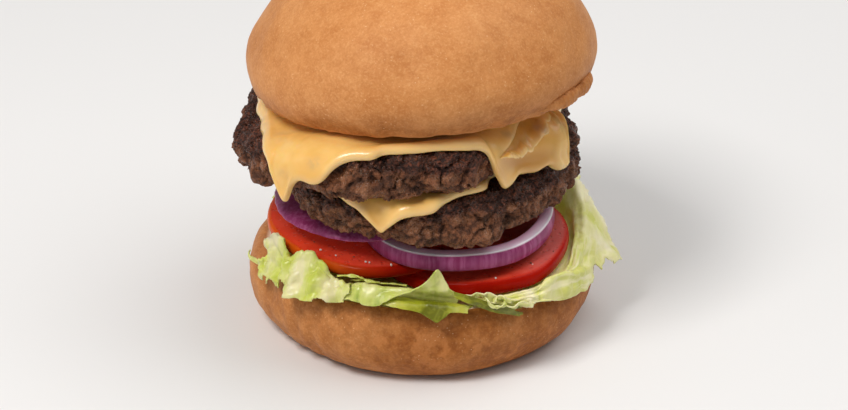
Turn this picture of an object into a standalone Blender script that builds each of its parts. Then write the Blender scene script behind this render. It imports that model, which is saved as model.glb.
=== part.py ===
"""Double cheeseburger, in metres, +Z up.

The origin is on the ground under the middle of the bun, and -Y is the front. From the ground up: the
bun's heel, five lettuce leaves and two torn pieces of them, two tomato slices, a red onion ring and the
domed end slice of an onion, a patty with a melted cheese slice, a second patty with a second slice, and
the bun's crown. Each layer is laid over the one below it by height functions of x and y, with GAP
between neighbours.
"""

import math
from dataclasses import dataclass, field
from typing import Callable

import bmesh
import bpy
import numpy as np
from mathutils import Vector, noise

# Clearance between neighbouring pieces, and the distance under which two points are one.
GAP = 0.0003
WELD = 0.00001

# Bun heel: a round, flat-bottomed half whose side rounds in to the foot.
HEEL_CENTRE = (0.0002, 0.0005)
HEEL_RADIUS = 0.0510
HEEL_FOOT_INSET = 0.0104
HEEL_WIDEST_HEIGHT = 0.0123
HEEL_RIM_HEIGHT = 0.0215
HEEL_RIM_INSET = 0.0052
HEEL_CUT_HEIGHT = 0.0212
HEEL_CUT_INSET = 0.0080
HEEL_FRONT_LIFT = 0.0040

# Bun crown: a dome that leans back and sags a little at both sides.
CROWN_CENTRE = (-0.0006, 0.0)
CROWN_RADIUS = 0.0501
CROWN_DOME = 0.0340
CROWN_LIP_INSET = 0.0084
CROWN_LIP_DROP = 0.0099
CROWN_RING_HEIGHT = 0.0839
CROWN_LEAN_BACK = 0.064
CROWN_LEAN_RIGHT = 0.046
CROWN_SIDE_SAG = 0.0016
CROWN_HOLLOW = 0.0018
CROWN_TORN_LIP = 0.0016

# Fillings. A cut slice has a small chamfer along its rims, and the onion's end slice slopes in to its top.
SLICE_CHAMFER = 0.0006
SLICE_DENT = 0.00025
SLICE_DENT_SIZE = 0.012
TOMATO_SKIN_BULGE = 0.0005
TOMATO_LEFT_THICKNESS = 0.0042
TOMATO_RIGHT_THICKNESS = 0.0050
ONION_WALL = 0.0040
ONION_SLICE_THICKNESS = 0.0032
ONION_SLICE_SLOPE = 0.0090

# Patties: pressed mince with small crumbs on larger clods.
PATTY_ROUNDING = 0.0048
LOWER_PATTY_THICKNESS = 0.0143
UPPER_PATTY_THICKNESS = 0.0117
CRUMB_SIZE = 0.0085
CRUMB_DEPTH = 0.0016
CLOD_SIZE = 0.0190
CLOD_DEPTH = 0.0014

# Cheese and leaves; a slice's first rows reach the rim's bend, and the others follow it down.
CHEESE_LIFT = 0.0012
CHEESE_FLAT_ROWS = 4.0 / 9.0
CHEESE_FLAT_REACH = 0.85
CHEESE_THICKNESS = 0.0020
LEAF_THICKNESS = 0.0007
LEAF_RUFFLE = 0.0005
LEAF_TEAR = 0.05
TORN_RUFFLE = 0.0002
TORN_TEAR = 0.06
MM = 0.001

# Numbers of sides round each turned body.
BUN_SIDES = 48
PATTY_SIDES = 76
SLICE_SIDES = 36
RING_SIDES = 40
CHEESE_CELLS = 18


def bump(angle, centre, half_width):
    """1 at the centre angle, falling smoothly to 0; angles in degrees."""
    away = (angle - centre + 180.0) % 360.0 - 180.0
    return math.exp(-((away / half_width) ** 2))


def ease(value):
    """A smooth step from 0 to 1 as the value goes from 0 to 1."""
    value = min(1.0, max(0.0, value))
    return value * value * (3.0 - 2.0 * value)


def lumps(point, size, seed):
    """0 on the top of a rounded lump of this size, up to 1 in the crease between two lumps."""
    nearest = noise.voronoi(Vector(point) / size + Vector((seed, seed, seed)))[0][0]
    return min(1.0, nearest * nearest * 1.8)


@dataclass
class Slab:
    """A round layer: its place, its uneven rim, and its underside and top as heights over (x, y)."""

    centre: tuple
    radius: float
    bottom: Callable
    top: Callable
    rim: list = field(default_factory=list)
    stretch: float = 1.0
    rounding: float = PATTY_ROUNDING

    def rim_radius(self, angle):
        oval = 1.0 / math.hypot(math.cos(math.radians(angle)) / self.stretch, math.sin(math.radians(angle)))
        return self.radius * oval + sum(out * bump(angle, at, wide) for at, wide, out in self.rim)

    def place(self, angle, radius):
        turn = math.radians(angle)
        return self.centre[0] + radius * math.cos(turn), self.centre[1] + radius * math.sin(turn)


LOWER_PATTY = Slab(
    centre=(0.0015, -0.0005),
    radius=0.0452,
    bottom=lambda x, y: 0.0427 - 0.030 * y - 0.0030 * (max(0.0, x - 0.016) / 0.030) ** 2,
    top=lambda x, y: 0.0570 - 0.030 * y
    - 0.0045 * (max(0.0, -x - 0.010) / 0.033) ** 2 - 0.0062 * (max(0.0, x - 0.014) / 0.031) ** 2,
    # Angle, half width in degrees, and how far the rim stands out or in there.
    rim=[(200, 20, -0.0020), (233, 9, 0.0014), (252, 5, -0.0012), (262, 8, 0.0012), (302, 4, -0.0022),
         (322, 13, -0.0030), (342, 14, -0.0024), (60, 22, 0.0018), (120, 15, -0.0022), (150, 14, 0.0015)],
)
UPPER_PATTY = Slab(
    centre=(-0.0049, 0.0),
    radius=0.0498,
    bottom=lambda x, y: 0.0599 - 0.030 * y
    - 0.0092 * (max(0.0, -x - 0.012) / 0.042) ** 2 - 0.0052 * (max(0.0, x - 0.014) / 0.031) ** 2,
    top=lambda x, y: 0.0713 - 0.064 * y
    - 0.0095 * (max(0.0, -x - 0.012) / 0.042) ** 2 - 0.0085 * (max(0.0, x - 0.012) / 0.033) ** 2,
    rim=[(178, 8, -0.0014), (190, 9, 0.0016), (206, 8, -0.0010), (250, 10, 0.0006), (275, 8, -0.0010),
         (290, 8, 0.0010), (318, 20, -0.0082), (348, 6.5, 0.0042), (8, 14, -0.0030), (48, 18, -0.0030),
         (80, 14, 0.0014),
         (125, 16, -0.0024)],
)
# Degrees round the burger, and millimetres from a patty's middle to the melted slice's end.
UPPER_REACHES = [
    (0, 45.5), (15, 47), (30, 49), (44, 56), (60, 51), (90, 46), (120, 50), (134, 56), (150, 49), (165, 44),
    (180, 43), (192, 43.2), (208, 46), (220, 51), (230, 62), (238, 57), (246, 54), (254, 50), (264, 47.2),
    (280, 46.5), (299, 48.5), (306, 57), (318, 53.4), (330, 54.5), (335, 57.5), (340, 49.5), (348, 45.4),
]
LOWER_REACHES = [
    (0, 40), (22, 42), (45, 47), (66, 43), (90, 41), (112, 43), (135, 47), (160, 43), (180, 40), (205, 40.5),
    (222, 43.6), (240, 46.5), (253, 53), (262, 49.5), (272, 46.2), (280, 43), (294, 41.6), (304, 37.0),
    (312, 34.5), (322, 33.8), (334, 35.5), (345, 38.0),
]
TOMATO_LEFT = Slab(
    centre=(-0.0130, -0.0065),
    radius=0.0316,
    bottom=lambda x, y: 0.0296 + 0.045 * max(0.0, x - 0.004),
    top=lambda x, y: 0.0338 + 0.045 * max(0.0, x - 0.004),
    rim=[(215, 18, -0.0008), (264, 16, 0.0010)],
)
TOMATO_RIGHT = Slab(
    centre=(0.0140, -0.0125),
    radius=0.0280,
    bottom=lambda x, y: 0.0228 + 0.066 * (x + 0.014),
    top=lambda x, y: 0.0278 + 0.066 * (x + 0.014),
    rim=[(308, 20, 0.0016), (225, 25, -0.0010)],
)
ONION_SLICE = Slab(
    centre=(-0.0164, -0.0080),
    radius=0.0265,
    bottom=lambda x, y: 0.0392,
    top=lambda x, y: 0.0424,
)
ONION_RING = Slab(
    centre=(0.0092, -0.0140),
    radius=0.0287,
    bottom=lambda x, y: 0.0343 - 0.045 * max(0.0, x - 0.014),
    top=lambda x, y: 0.0389 - 0.045 * max(0.0, x - 0.014),
)


def paint(name, colour, roughness):
    """A Principled material of one colour."""
    material = bpy.data.materials.new(name)
    material.use_nodes = True
    shader = material.node_tree.nodes["Principled BSDF"]
    shader.inputs["Base Color"].default_value = (*colour, 1.0)
    shader.inputs["Roughness"].default_value = roughness
    shader.inputs["Metallic"].default_value = 0.0
    return material


def add_object(name, bm, material):
    """Turns the bmesh into a named, smooth-shaded object."""
    mesh = bpy.data.meshes.new(name)
    bm.to_mesh(mesh)
    bm.free()
    mesh.materials.append(material)
    mesh.shade_smooth()
    mesh.set_sharp_from_angle(angle=math.radians(50))
    piece = bpy.data.objects.new(name, mesh)
    bpy.context.scene.collection.objects.link(piece)
    return piece


def turned(profile, sides):
    """A body of revolution about Z, from (radius, height) points that start and end on the axis."""
    bm = bmesh.new()
    chain = [bm.verts.new((radius, 0.0, height)) for radius, height in profile]
    edges = [bm.edges.new(pair) for pair in zip(chain, chain[1:])]
    bmesh.ops.spin(bm, geom=chain + edges, cent=(0, 0, 0), axis=(0, 0, 1), angle=math.tau, steps=sides)
    bmesh.ops.remove_doubles(bm, verts=bm.verts, dist=WELD)
    bmesh.ops.recalc_face_normals(bm, faces=bm.faces)
    return bm


def roughen(bm, depth_at):
    """Sinks every point along its normal by depth_at(point), so that the smooth form stays the outer limit."""
    bm.normal_update()
    sunk = [vert.co - vert.normal * depth_at(vert.co) for vert in bm.verts]
    for vert, place in zip(bm.verts, sunk):
        vert.co = place


def polar(point):
    """Radius and angle in degrees of a point about the Z axis."""
    return math.hypot(point[0], point[1]), math.degrees(math.atan2(point[1], point[0])) % 360.0


def slab_profile(radius, thickness, rounding, inner, arc_steps):
    """Half of a slab's section: flat underside, rounded edge, flat top; inner holds shares of the radius."""
    flat = radius - rounding
    arc = [math.radians(90.0 * step / arc_steps) for step in range(arc_steps + 1)]
    under = [(flat * share, 0.0) for share in inner]
    low = [(flat + rounding * math.sin(a), rounding * (1.0 - math.cos(a))) for a in arc]
    high = [(r, thickness - h) for r, h in reversed(low)]
    middle = [] if thickness <= 2.0 * rounding else [(radius, thickness / 2.0)]
    return under + low + middle + high + [(r, thickness) for r, _ in reversed(under)]


def shape_slab(bm, slab, thickness):
    """Moves a turned slab's points onto the layer's own rim, underside and top."""
    for vert in bm.verts:
        radius, angle = polar(vert.co)
        share = radius / slab.radius
        radius += (slab.rim_radius(angle) - slab.radius) * share * share
        x, y = slab.place(angle, radius)
        bottom, top = slab.bottom(x, y), slab.top(x, y)
        height = vert.co.z
        squeeze = min(1.0, (top - bottom) / thickness)
        if abs(height - thickness / 2.0) < WELD:
            z = (bottom + top) / 2.0
        elif height > thickness / 2.0:
            z = top - (thickness - height) * squeeze
        else:
            z = bottom + height * squeeze
        vert.co = Vector((x, y, z))


def make_patty(name, slab, thickness, seed, material):
    """A craggy disc of pressed mince, whose crags are cut into the slab's form."""
    profile = slab_profile(slab.radius, thickness, slab.rounding, (0.0, 0.45, 0.75), 2)
    bm = turned(profile, PATTY_SIDES)
    shape_slab(bm, slab, thickness)
    bottom, top = slab.bottom, slab.top

    def depth(point):
        middle = (bottom(point.x, point.y) + top(point.x, point.y)) / 2.0
        at_side = ease((math.hypot(point.x - slab.centre[0], point.y - slab.centre[1]) - 0.034) / 0.008)
        flat_share = 0.35 + 0.65 * at_side * (1.0 - 0.4 * ease((point.z - middle) / thickness))
        crumbs = CRUMB_DEPTH * lumps(point, CRUMB_SIZE, seed)
        clods = CLOD_DEPTH * lumps(point, CLOD_SIZE, seed + 7.3)
        return flat_share * (crumbs + clods)

    roughen(bm, depth)
    return add_object(name, bm, material)


def make_slice(name, slab, thickness, material, seed):
    """A tomato slice: two cut faces and a skin that bulges a little between them."""
    rim, middle = slab.radius - SLICE_CHAMFER, slab.radius * 0.6
    profile = [(0.0, 0.0), (middle, 0.0), (rim, 0.0), (slab.radius, SLICE_CHAMFER),
               (slab.radius + TOMATO_SKIN_BULGE, thickness / 2.0), (slab.radius, thickness - SLICE_CHAMFER),
               (rim, thickness), (middle, thickness), (0.0, thickness)]
    return shaped_slice(name, slab, thickness, profile, material, seed)


def make_end_slice(name, slab, thickness, material, seed):
    """The end slice of an onion: its skin curves in from the rim to a small flat top."""
    slope = [math.radians(90.0 * step / 4) for step in range(5)]
    skin = [(slab.radius - ONION_SLICE_SLOPE * (1.0 - math.cos(a)),
             SLICE_CHAMFER + (thickness - SLICE_CHAMFER) * math.sin(a)) for a in slope]
    profile = [(0.0, 0.0), (slab.radius * 0.6, 0.0), (slab.radius - SLICE_CHAMFER, 0.0), *skin, (0.0, thickness)]
    return shaped_slice(name, slab, thickness, profile, material, seed)


def shaped_slice(name, slab, thickness, profile, material, seed):
    """Turns a slice's section, lays it on its slab and dents it a little."""
    bm = turned(profile, SLICE_SIDES)
    shape_slab(bm, slab, thickness)
    roughen(bm, lambda point: SLICE_DENT * lumps(point, SLICE_DENT_SIZE, seed))
    return add_object(name, bm, material)


def make_onion_ring(name, slab, material):
    """One ring of a cut onion: a band whose outer side is skin and whose inner side slopes in at the foot."""
    bm = bmesh.new()
    thickness = slab.top(0.0, 0.0) - slab.bottom(0.0, 0.0)
    inner = slab.radius - ONION_WALL
    section = [(inner - 0.0003, 0.0), (slab.radius - 0.0006, 0.0), (slab.radius, thickness * 0.45),
               (slab.radius - 0.0008, thickness), (inner, thickness), (inner - 0.0005, thickness * 0.5)]
    loop = [bm.verts.new((radius, 0.0, height)) for radius, height in section]
    edges = [bm.edges.new(pair) for pair in zip(loop, loop[1:] + loop[:1])]
    bmesh.ops.spin(bm, geom=loop + edges, cent=(0, 0, 0), axis=(0, 0, 1), angle=math.tau, steps=RING_SIDES)
    bmesh.ops.remove_doubles(bm, verts=bm.verts, dist=WELD)
    bmesh.ops.recalc_face_normals(bm, faces=bm.faces)
    for vert in bm.verts:
        radius, angle = polar(vert.co)
        radius *= slab.rim_radius(angle) / slab.radius
        x, y = slab.place(angle, radius)
        vert.co = Vector((x, y, slab.bottom(x, y) + vert.co.z))
    return add_object(name, bm, material)


def draped(slab, angle, distance, above):
    """The point this far out along a sheet that lies on the slab and hangs over its rim, raised off its face."""
    rim = slab.rim_radius(angle)
    bend = slab.rounding + CHEESE_LIFT
    level = rim - slab.rounding
    past = max(0.0, distance - level)
    lean = min(past / bend, math.pi / 2.0)
    hanging = past - lean * bend
    radius = min(distance, level) + (bend + above) * math.sin(lean)
    drop = bend * (1.0 - math.cos(lean)) + hanging
    x, y = slab.place(angle, radius)
    top = slab.top(*slab.place(angle, min(distance, level) + bend * math.sin(lean)))
    return Vector((x, y, top + GAP - drop + above * math.cos(lean)))


def spread(share, level, reach):
    """The distance out at this share of the grid, with more rows where the sheet bends over the rim."""
    inner = min(level, CHEESE_FLAT_REACH * reach)
    if share <= CHEESE_FLAT_ROWS:
        return share / CHEESE_FLAT_ROWS * inner
    return inner + (share - CHEESE_FLAT_ROWS) / (1.0 - CHEESE_FLAT_ROWS) * (reach - inner)


def make_cheese(name, slab, corner_angle, reaches, folds, material):
    """A melted cheese slice: a square grid of two faces whose rows follow its sides, laid over a patty."""
    angles = [at for at, _ in reaches]
    angles = [angles[-1] - 360.0, *angles, angles[0] + 360.0]
    ends = [out * MM for _, out in reaches]
    ends = [ends[-1], *ends, ends[0]]
    bm = bmesh.new()
    bmesh.ops.create_grid(bm, x_segments=CHEESE_CELLS, y_segments=CHEESE_CELLS, size=1.0)
    bmesh.ops.triangulate(bm, faces=bm.faces, quad_method="FIXED")
    raised = bmesh.ops.extrude_face_region(bm, geom=bm.faces[:], use_keep_orig=True)["geom"]
    for vert in raised:
        if isinstance(vert, bmesh.types.BMVert):
            vert.co.z = CHEESE_THICKNESS
    for vert in bm.verts:
        share = max(abs(vert.co.x), abs(vert.co.y))
        angle = (math.degrees(math.atan2(vert.co.y, vert.co.x)) - 45.0 + corner_angle) % 360.0
        reach = float(curve_through(angles, ends, angle))
        distance = spread(share, slab.rim_radius(angle) - slab.rounding, reach)
        rise = sum(high * bump(angle, at, wide) * math.exp(-(((distance - out) / 0.006) ** 2))
                   for at, wide, out, high in folds)
        vert.co = draped(slab, angle, distance, vert.co.z) + Vector((0.0, 0.0, rise))
    bmesh.ops.recalc_face_normals(bm, faces=bm.faces)
    return add_object(name, bm, material)


def curve_through(keys, values, at):
    """A smooth value between rows of a table: Catmull-Rom through the values at the keys."""
    keys = np.asarray(keys, float)
    values = np.asarray(values, float)
    index = int(np.clip(np.searchsorted(keys, at) - 1, 0, len(keys) - 2))
    share = (at - keys[index]) / (keys[index + 1] - keys[index])
    before, after = max(index - 1, 0), min(index + 2, len(keys) - 1)
    start_slope = (values[index + 1] - values[before]) / (keys[index + 1] - keys[before])
    end_slope = (values[after] - values[index]) / (keys[after] - keys[index])
    span = keys[index + 1] - keys[index]
    cube, square = share ** 3, share ** 2
    return (values[index] * (2 * cube - 3 * square + 1) + start_slope * span * (cube - 2 * square + share)
            + values[index + 1] * (3 * square - 2 * cube) + end_slope * span * (cube - square))


def make_leaf(name, ribs, columns, rows, ruffle, torn, seed, material):
    """A lettuce leaf: each rib gives an angle and the (radius, height) points of the leaf from its root out."""
    angles = [angle for angle, _ in ribs]
    table = [points for _, points in ribs]
    stations = range(len(table[0]))
    bm = bmesh.new()
    bmesh.ops.create_grid(bm, x_segments=columns, y_segments=rows, size=1.0)
    for vert in bm.verts:
        across, out = (vert.co.x + 1.0) / 2.0, (vert.co.y + 1.0) / 2.0
        angle = angles[0] + across * (angles[-1] - angles[0])
        tear = torn * (0.5 + 0.5 * noise.noise(Vector((angle * 0.16, seed, 0.0))))
        out = out * (1.0 - tear)
        points = curve_through(angles, table, angle)
        radius, height = curve_through(stations, points, out * (len(table[0]) - 1))
        wave = ruffle * ease((out - 0.45) / 0.5) * math.sin(math.radians(angle) * 19.0 + seed)
        turn = math.radians(angle)
        vert.co = Vector((radius * math.cos(turn), radius * math.sin(turn), height + wave))
    bmesh.ops.triangulate(bm, faces=bm.faces, quad_method="FIXED")
    piece = add_object(name, bm, material)
    wall = piece.modifiers.new("thickness", "SOLIDIFY")
    wall.thickness = LEAF_THICKNESS
    wall.offset = 0.0
    return piece


def heel_relief(point):
    """Shallow dents, and the puckered crust at the heel's front left."""
    radius, angle = polar(point)
    pucker = bump(angle, 226, 12) * (0.5 + 0.5 * math.sin(math.radians(angle) * 46.0))
    pucker *= ease((0.020 - point.z) / 0.012)
    side = ease((radius - 0.030) / 0.012)
    return side * (0.0010 * lumps(point, 0.034, 3.1) + 0.0011 * pucker)


def make_heel(material):
    """The bun's lower half, turned from its section; its rim curls up in front, round the fillings."""
    arc = [math.radians(90.0 * step / 4) for step in range(5)]
    flat = HEEL_RADIUS - HEEL_FOOT_INSET
    foot = [(flat + HEEL_FOOT_INSET * math.sin(a), HEEL_WIDEST_HEIGHT * (1.0 - math.cos(a))) for a in arc]
    shoulder = [math.radians(90.0 * step / 3) for step in range(1, 4)]
    shoulder_height = HEEL_RIM_HEIGHT - HEEL_WIDEST_HEIGHT
    rim = [(HEEL_RADIUS - HEEL_RIM_INSET * (1.0 - math.cos(a)),
            HEEL_WIDEST_HEIGHT + shoulder_height * math.sin(a)) for a in shoulder]
    cut = HEEL_RADIUS - HEEL_CUT_INSET
    profile = [(0.0, 0.0), (flat * 0.55, 0.0), *foot, *rim,
               (cut, HEEL_CUT_HEIGHT), (cut * 0.5, HEEL_CUT_HEIGHT), (0.0, HEEL_CUT_HEIGHT)]
    bm = turned(profile, BUN_SIDES)
    for vert in bm.verts:
        radius, angle = polar(vert.co)
        lifted = ease((radius - cut) / 0.004) * ease((vert.co.z - HEEL_WIDEST_HEIGHT) / shoulder_height)
        vert.co.z += HEEL_FRONT_LIFT * bump(angle, 262, 36) * lifted
        vert.co.x += HEEL_CENTRE[0]
        vert.co.y += HEEL_CENTRE[1]
    roughen(bm, heel_relief)
    for vert in bm.verts:
        vert.co.z = max(0.0, vert.co.z)
    return add_object("bun_heel", bm, material)


def crown_height(x, y):
    """Height of the crown's widest ring over (x, y): it leans back and to one side and sags at the sides."""
    saddle = CROWN_SIDE_SAG * (y * y - x * x) / CROWN_RADIUS ** 2
    return CROWN_RING_HEIGHT - CROWN_LEAN_BACK * y + CROWN_LEAN_RIGHT * x + saddle


def crown_relief(point):
    """Broad shallow dents in the dome."""
    return 0.0012 * lumps(point, 0.046, 5.7) if point.z > crown_height(point.x, point.y) else 0.0


def make_crown(material):
    """The bun's domed top half, with a torn lip of crust at the right of its cut edge."""
    quarter = [math.radians(90.0 * step / 7) for step in range(8)]
    dome = [(CROWN_RADIUS * math.sin(a), CROWN_DOME * math.cos(a)) for a in quarter]
    lip = [math.radians(90.0 * step / 3) for step in range(1, 4)]
    flat = CROWN_RADIUS - CROWN_LIP_INSET
    under = [(flat + CROWN_LIP_INSET * math.cos(a), -CROWN_LIP_DROP * math.sin(a)) for a in lip]
    inner = [(flat * share, -CROWN_LIP_DROP) for share in (0.8, 0.5, 0.0)]
    bm = turned(dome + under + inner, BUN_SIDES)
    for vert in bm.verts:
        radius, angle = polar(vert.co)
        low = ease((-vert.co.z - 0.003) / 0.005) * ease((radius - 0.034) / 0.010)
        torn = low * CROWN_TORN_LIP * bump(angle, 336, 20) * (0.75 + 0.25 * math.sin(math.radians(angle) * 31.0))
        x = CROWN_CENTRE[0] + (radius + torn) * math.cos(math.radians(angle))
        y = CROWN_CENTRE[1] + (radius + torn) * math.sin(math.radians(angle))
        hollow = CROWN_HOLLOW * (1.0 - (radius / flat) ** 2) if radius < flat and vert.co.z < 0.0 else 0.0
        vert.co = Vector((x, y, crown_height(x, y) + vert.co.z + hollow))
    roughen(bm, crown_relief)
    return add_object("bun_crown", bm, material)


def rib(angle, *outer):
    """One rib of a leaf: its angle, and (radius, height) points in millimetres from the shared root out."""
    points = [(11.0, 21.9), (28.0, 22.3), *outer]
    return angle, [(radius * MM, height * MM) for radius, height in points]


# Outside the shared root each rib has a point under the tomatoes, the crest, the shoulder and the torn margin.
LEAF_RIBS = {
    "leaf_left": [
        rib(196, (44.8, 25.0), (47.5, 26.5), (50.0, 25.5), (51.6, 24.0)),
        rib(200, (46.4, 26.5), (48.6, 29.0), (50.0, 27.0), (51.6, 22.5)),
        rib(204, (47.0, 27.0), (48.8, 32.0), (50.2, 28.0), (52.9, 21.0)),
        rib(209, (47.0, 27.5), (47.7, 36.2), (49.2, 30.0), (52.2, 20.8)),
        rib(213, (46.8, 27.5), (47.5, 36.0), (49.6, 30.0), (51.8, 21.3)),
        rib(217.5, (46.2, 27.0), (47.4, 32.6), (50.4, 30.5), (52.2, 21.8)),
        rib(223, (45.8, 27.0), (47.0, 34.2), (50.6, 30.5), (52.6, 22.2)),
        rib(227, (45.4, 27.0), (46.4, 35.6), (50.0, 29.5), (52.8, 22.8)),
        rib(231, (44.8, 27.0), (46.0, 35.0), (50.2, 30.5), (53.0, 23.6)),
        rib(236, (44.0, 26.8), (46.1, 32.0), (49.8, 29.5), (52.6, 25.0)),
        rib(242, (42.9, 26.0), (46.8, 29.8), (49.8, 29.5), (52.0, 26.2)),
        rib(245, (41.6, 26.0), (47.2, 31.0), (49.4, 30.5), (51.4, 26.5)),
    ],
    "leaf_front": [
        rib(248, (39.0, 24.0), (46.6, 31.0), (49.6, 30.5), (51.4, 27.2)),
        rib(255, (38.0, 22.9), (46.4, 31.2), (49.6, 30.8), (51.8, 27.0)),
        rib(262, (38.0, 22.7), (46.4, 31.2), (49.0, 31.4), (50.6, 30.6)),
        rib(268, (38.4, 22.7), (46.6, 30.4), (48.3, 31.8), (49.2, 32.6)),
        rib(274, (39.4, 22.9), (46.4, 29.6), (47.5, 33.0), (47.6, 37.8)),
        rib(279, (40.5, 23.1), (46.2, 28.2), (47.6, 29.6), (48.2, 31.0)),
        rib(283, (41.8, 23.4), (46.0, 27.4), (47.6, 28.4), (48.6, 29.0)),
    ],
    "leaf_right": [
        rib(288, (43.8, 23.7), (46.2, 26.4), (47.8, 26.8), (49.0, 26.4)),
        rib(300, (45.8, 24.2), (48.0, 26.2), (49.8, 26.0), (51.3, 23.6)),
        rib(310, (47.8, 24.7), (49.2, 25.9), (50.6, 25.4), (51.9, 22.9)),
        rib(320, (47.0, 24.6), (48.8, 25.0), (50.4, 26.8), (52.6, 19.6)),
        rib(330, (45.6, 25.0), (49.2, 24.8), (52.0, 24.0), (53.5, 18.0)),
        rib(338, (44.6, 25.2), (47.6, 27.0), (52.0, 22.2), (53.6, 17.4)),
        rib(350, (41.8, 25.2), (46.2, 30.0), (51.0, 27.2), (57.0, 17.8)),
        rib(358, (40.8, 25.4), (45.6, 32.2), (50.8, 29.7), (59.2, 15.4)),
        rib(368, (39.0, 26.0), (45.0, 34.7), (50.4, 31.7), (58.0, 18.6)),
        rib(380, (36.6, 26.4), (44.5, 36.2), (49.0, 34.2), (54.5, 24.5)),
        rib(391, (36.0, 26.4), (44.0, 36.2), (47.6, 34.6), (52.0, 28.0)),
    ],
}


def loose(angle, *points):
    """One rib of a torn-off piece, in the same form but with no root."""
    return angle, [(radius * MM, height * MM) for radius, height in points]


TORN_PIECES = {
    "leaf_fold": [
        loose(254, (46.8, 28.2), (49.4, 28.4), (51.2, 25.8)),
        loose(262, (46.8, 28.2), (49.8, 28.2), (51.6, 25.6)),
        loose(269, (46.8, 27.6), (49.8, 27.8), (51.6, 25.8)),
        loose(274, (46.6, 27.0), (49.8, 27.4), (52.6, 22.8)),
        loose(279, (46.6, 26.4), (49.6, 27.2), (51.2, 25.4)),
        loose(284, (47.6, 25.4), (49.2, 26.2), (50.6, 25.2)),
    ],
    "leaf_blade": [
        loose(286, (49.2, 28.6), (50.2, 27.8), (50.9, 26.4)),
        loose(291, (50.2, 27.8), (51.3, 26.6), (51.9, 24.8)),
        loose(297, (51.4, 25.6), (52.3, 24.2), (52.6, 22.4)),
        loose(303, (52.2, 22.6), (52.8, 21.2), (52.8, 20.0)),
    ],
}


def back_leaf(angles, under, crest, margin):
    """Ribs of a leaf at the back, which swells and sinks along its length; a pair is (first, last)."""
    ribs = []
    for step, angle in enumerate(angles):
        share = step / (len(angles) - 1)
        swell = 0.5 + 0.5 * math.sin(step * 2.1 + angles[0])
        inner, top, edge = [[a + (b - a) * share for a, b in zip(*pair)] for pair in (under, crest, margin)]
        ribs.append(rib(angle, inner, (top[0], top[1] - 3.5 * swell), (top[0] + 3.6, top[1] - 2.5 - 2.0 * swell),
                        (edge[0] + 1.5 * swell, edge[1] + 3.0 * swell)))
    return ribs


BACK_LEAVES = {
    "leaf_back_right": back_leaf(range(36, 112, 12), ((36.0, 26.0), (36.0, 25.5)),
                                 ((44.0, 37.5), (43.5, 37.0)), ((51.5, 25.5), (52.0, 24.0))),
    "leaf_back_left": back_leaf(range(111, 162, 10), ((33.0, 25.2), (42.0, 25.8)),
                                ((43.0, 37.0), (41.0, 28.5)), ((51.5, 24.5), (46.0, 23.2))),
}


def build():
    """Makes every piece, from the ground up."""
    crust = paint("bun", (0.62, 0.33, 0.12), 0.62)
    lettuce = paint("lettuce", (0.50, 0.62, 0.18), 0.45)
    tomato = paint("tomato", (0.60, 0.06, 0.02), 0.25)
    onion = paint("onion", (0.33, 0.07, 0.22), 0.30)
    meat = paint("meat", (0.085, 0.045, 0.030), 0.60)
    cheese = paint("cheese", (0.86, 0.52, 0.14), 0.30)
    make_heel(crust)
    columns = {"leaf_left": 18, "leaf_front": 14, "leaf_right": 22, "leaf_back_right": 12, "leaf_back_left": 12}
    for number, (name, ribs) in enumerate({**LEAF_RIBS, **BACK_LEAVES}.items()):
        make_leaf(name, ribs, columns[name], 8, LEAF_RUFFLE, LEAF_TEAR, 1.7 + number, lettuce)
    for number, (name, ribs) in enumerate(TORN_PIECES.items()):
        make_leaf(name, ribs, 10, 3, TORN_RUFFLE, TORN_TEAR, 9.2 + number, lettuce)
    make_slice("tomato_right", TOMATO_RIGHT, TOMATO_RIGHT_THICKNESS, tomato, 2.4)
    make_slice("tomato_left", TOMATO_LEFT, TOMATO_LEFT_THICKNESS, tomato, 6.1)
    make_onion_ring("onion_ring", ONION_RING, onion)
    make_end_slice("onion_slice", ONION_SLICE, ONION_SLICE_THICKNESS, onion, 8.8)
    make_patty("patty_lower", LOWER_PATTY, LOWER_PATTY_THICKNESS, 1.3, meat)
    make_cheese("cheese_lower", LOWER_PATTY, 255, LOWER_REACHES, [], cheese)
    make_patty("patty_upper", UPPER_PATTY, UPPER_PATTY_THICKNESS, 4.9, meat)
    make_cheese("cheese_upper", UPPER_PATTY, 223, UPPER_REACHES,
                [(310, 8, 0.0340, 0.0022), (326, 7, 0.0330, 0.0018)], cheese)
    make_crown(crust)


for old in list(bpy.data.objects):
    bpy.data.objects.remove(old, do_unlink=True)
build()
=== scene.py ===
# %% [markdown]
# # A double cheeseburger
# The burger is a stack: a bun heel, lettuce, tomato, red onion, two seared patties with a melted cheese
# slice on each, and the bun's crown. The solid model gives every layer its place and size. This script
# gives each one the shape and finish of the real food.
#
# Sizes are in metres and angles in degrees, apart from tables that say millimetres. +Z is up and -Y is the
# front.

# %% Load the solid model
import math
import random

import bmesh
import bpy
import numpy as np
from mathutils import Matrix, Vector, noise


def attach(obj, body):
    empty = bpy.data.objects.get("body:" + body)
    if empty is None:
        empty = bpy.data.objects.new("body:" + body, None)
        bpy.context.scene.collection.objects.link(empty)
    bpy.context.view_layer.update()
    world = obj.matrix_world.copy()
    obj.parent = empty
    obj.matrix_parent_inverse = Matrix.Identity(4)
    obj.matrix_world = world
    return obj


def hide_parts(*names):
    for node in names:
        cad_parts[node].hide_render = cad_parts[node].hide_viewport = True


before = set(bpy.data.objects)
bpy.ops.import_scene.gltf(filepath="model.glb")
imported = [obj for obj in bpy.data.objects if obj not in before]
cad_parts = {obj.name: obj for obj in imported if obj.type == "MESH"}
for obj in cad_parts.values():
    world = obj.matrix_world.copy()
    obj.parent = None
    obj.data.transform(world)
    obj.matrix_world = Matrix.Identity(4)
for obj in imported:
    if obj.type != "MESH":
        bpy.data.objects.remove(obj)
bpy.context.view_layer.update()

MM = 0.001

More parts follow.
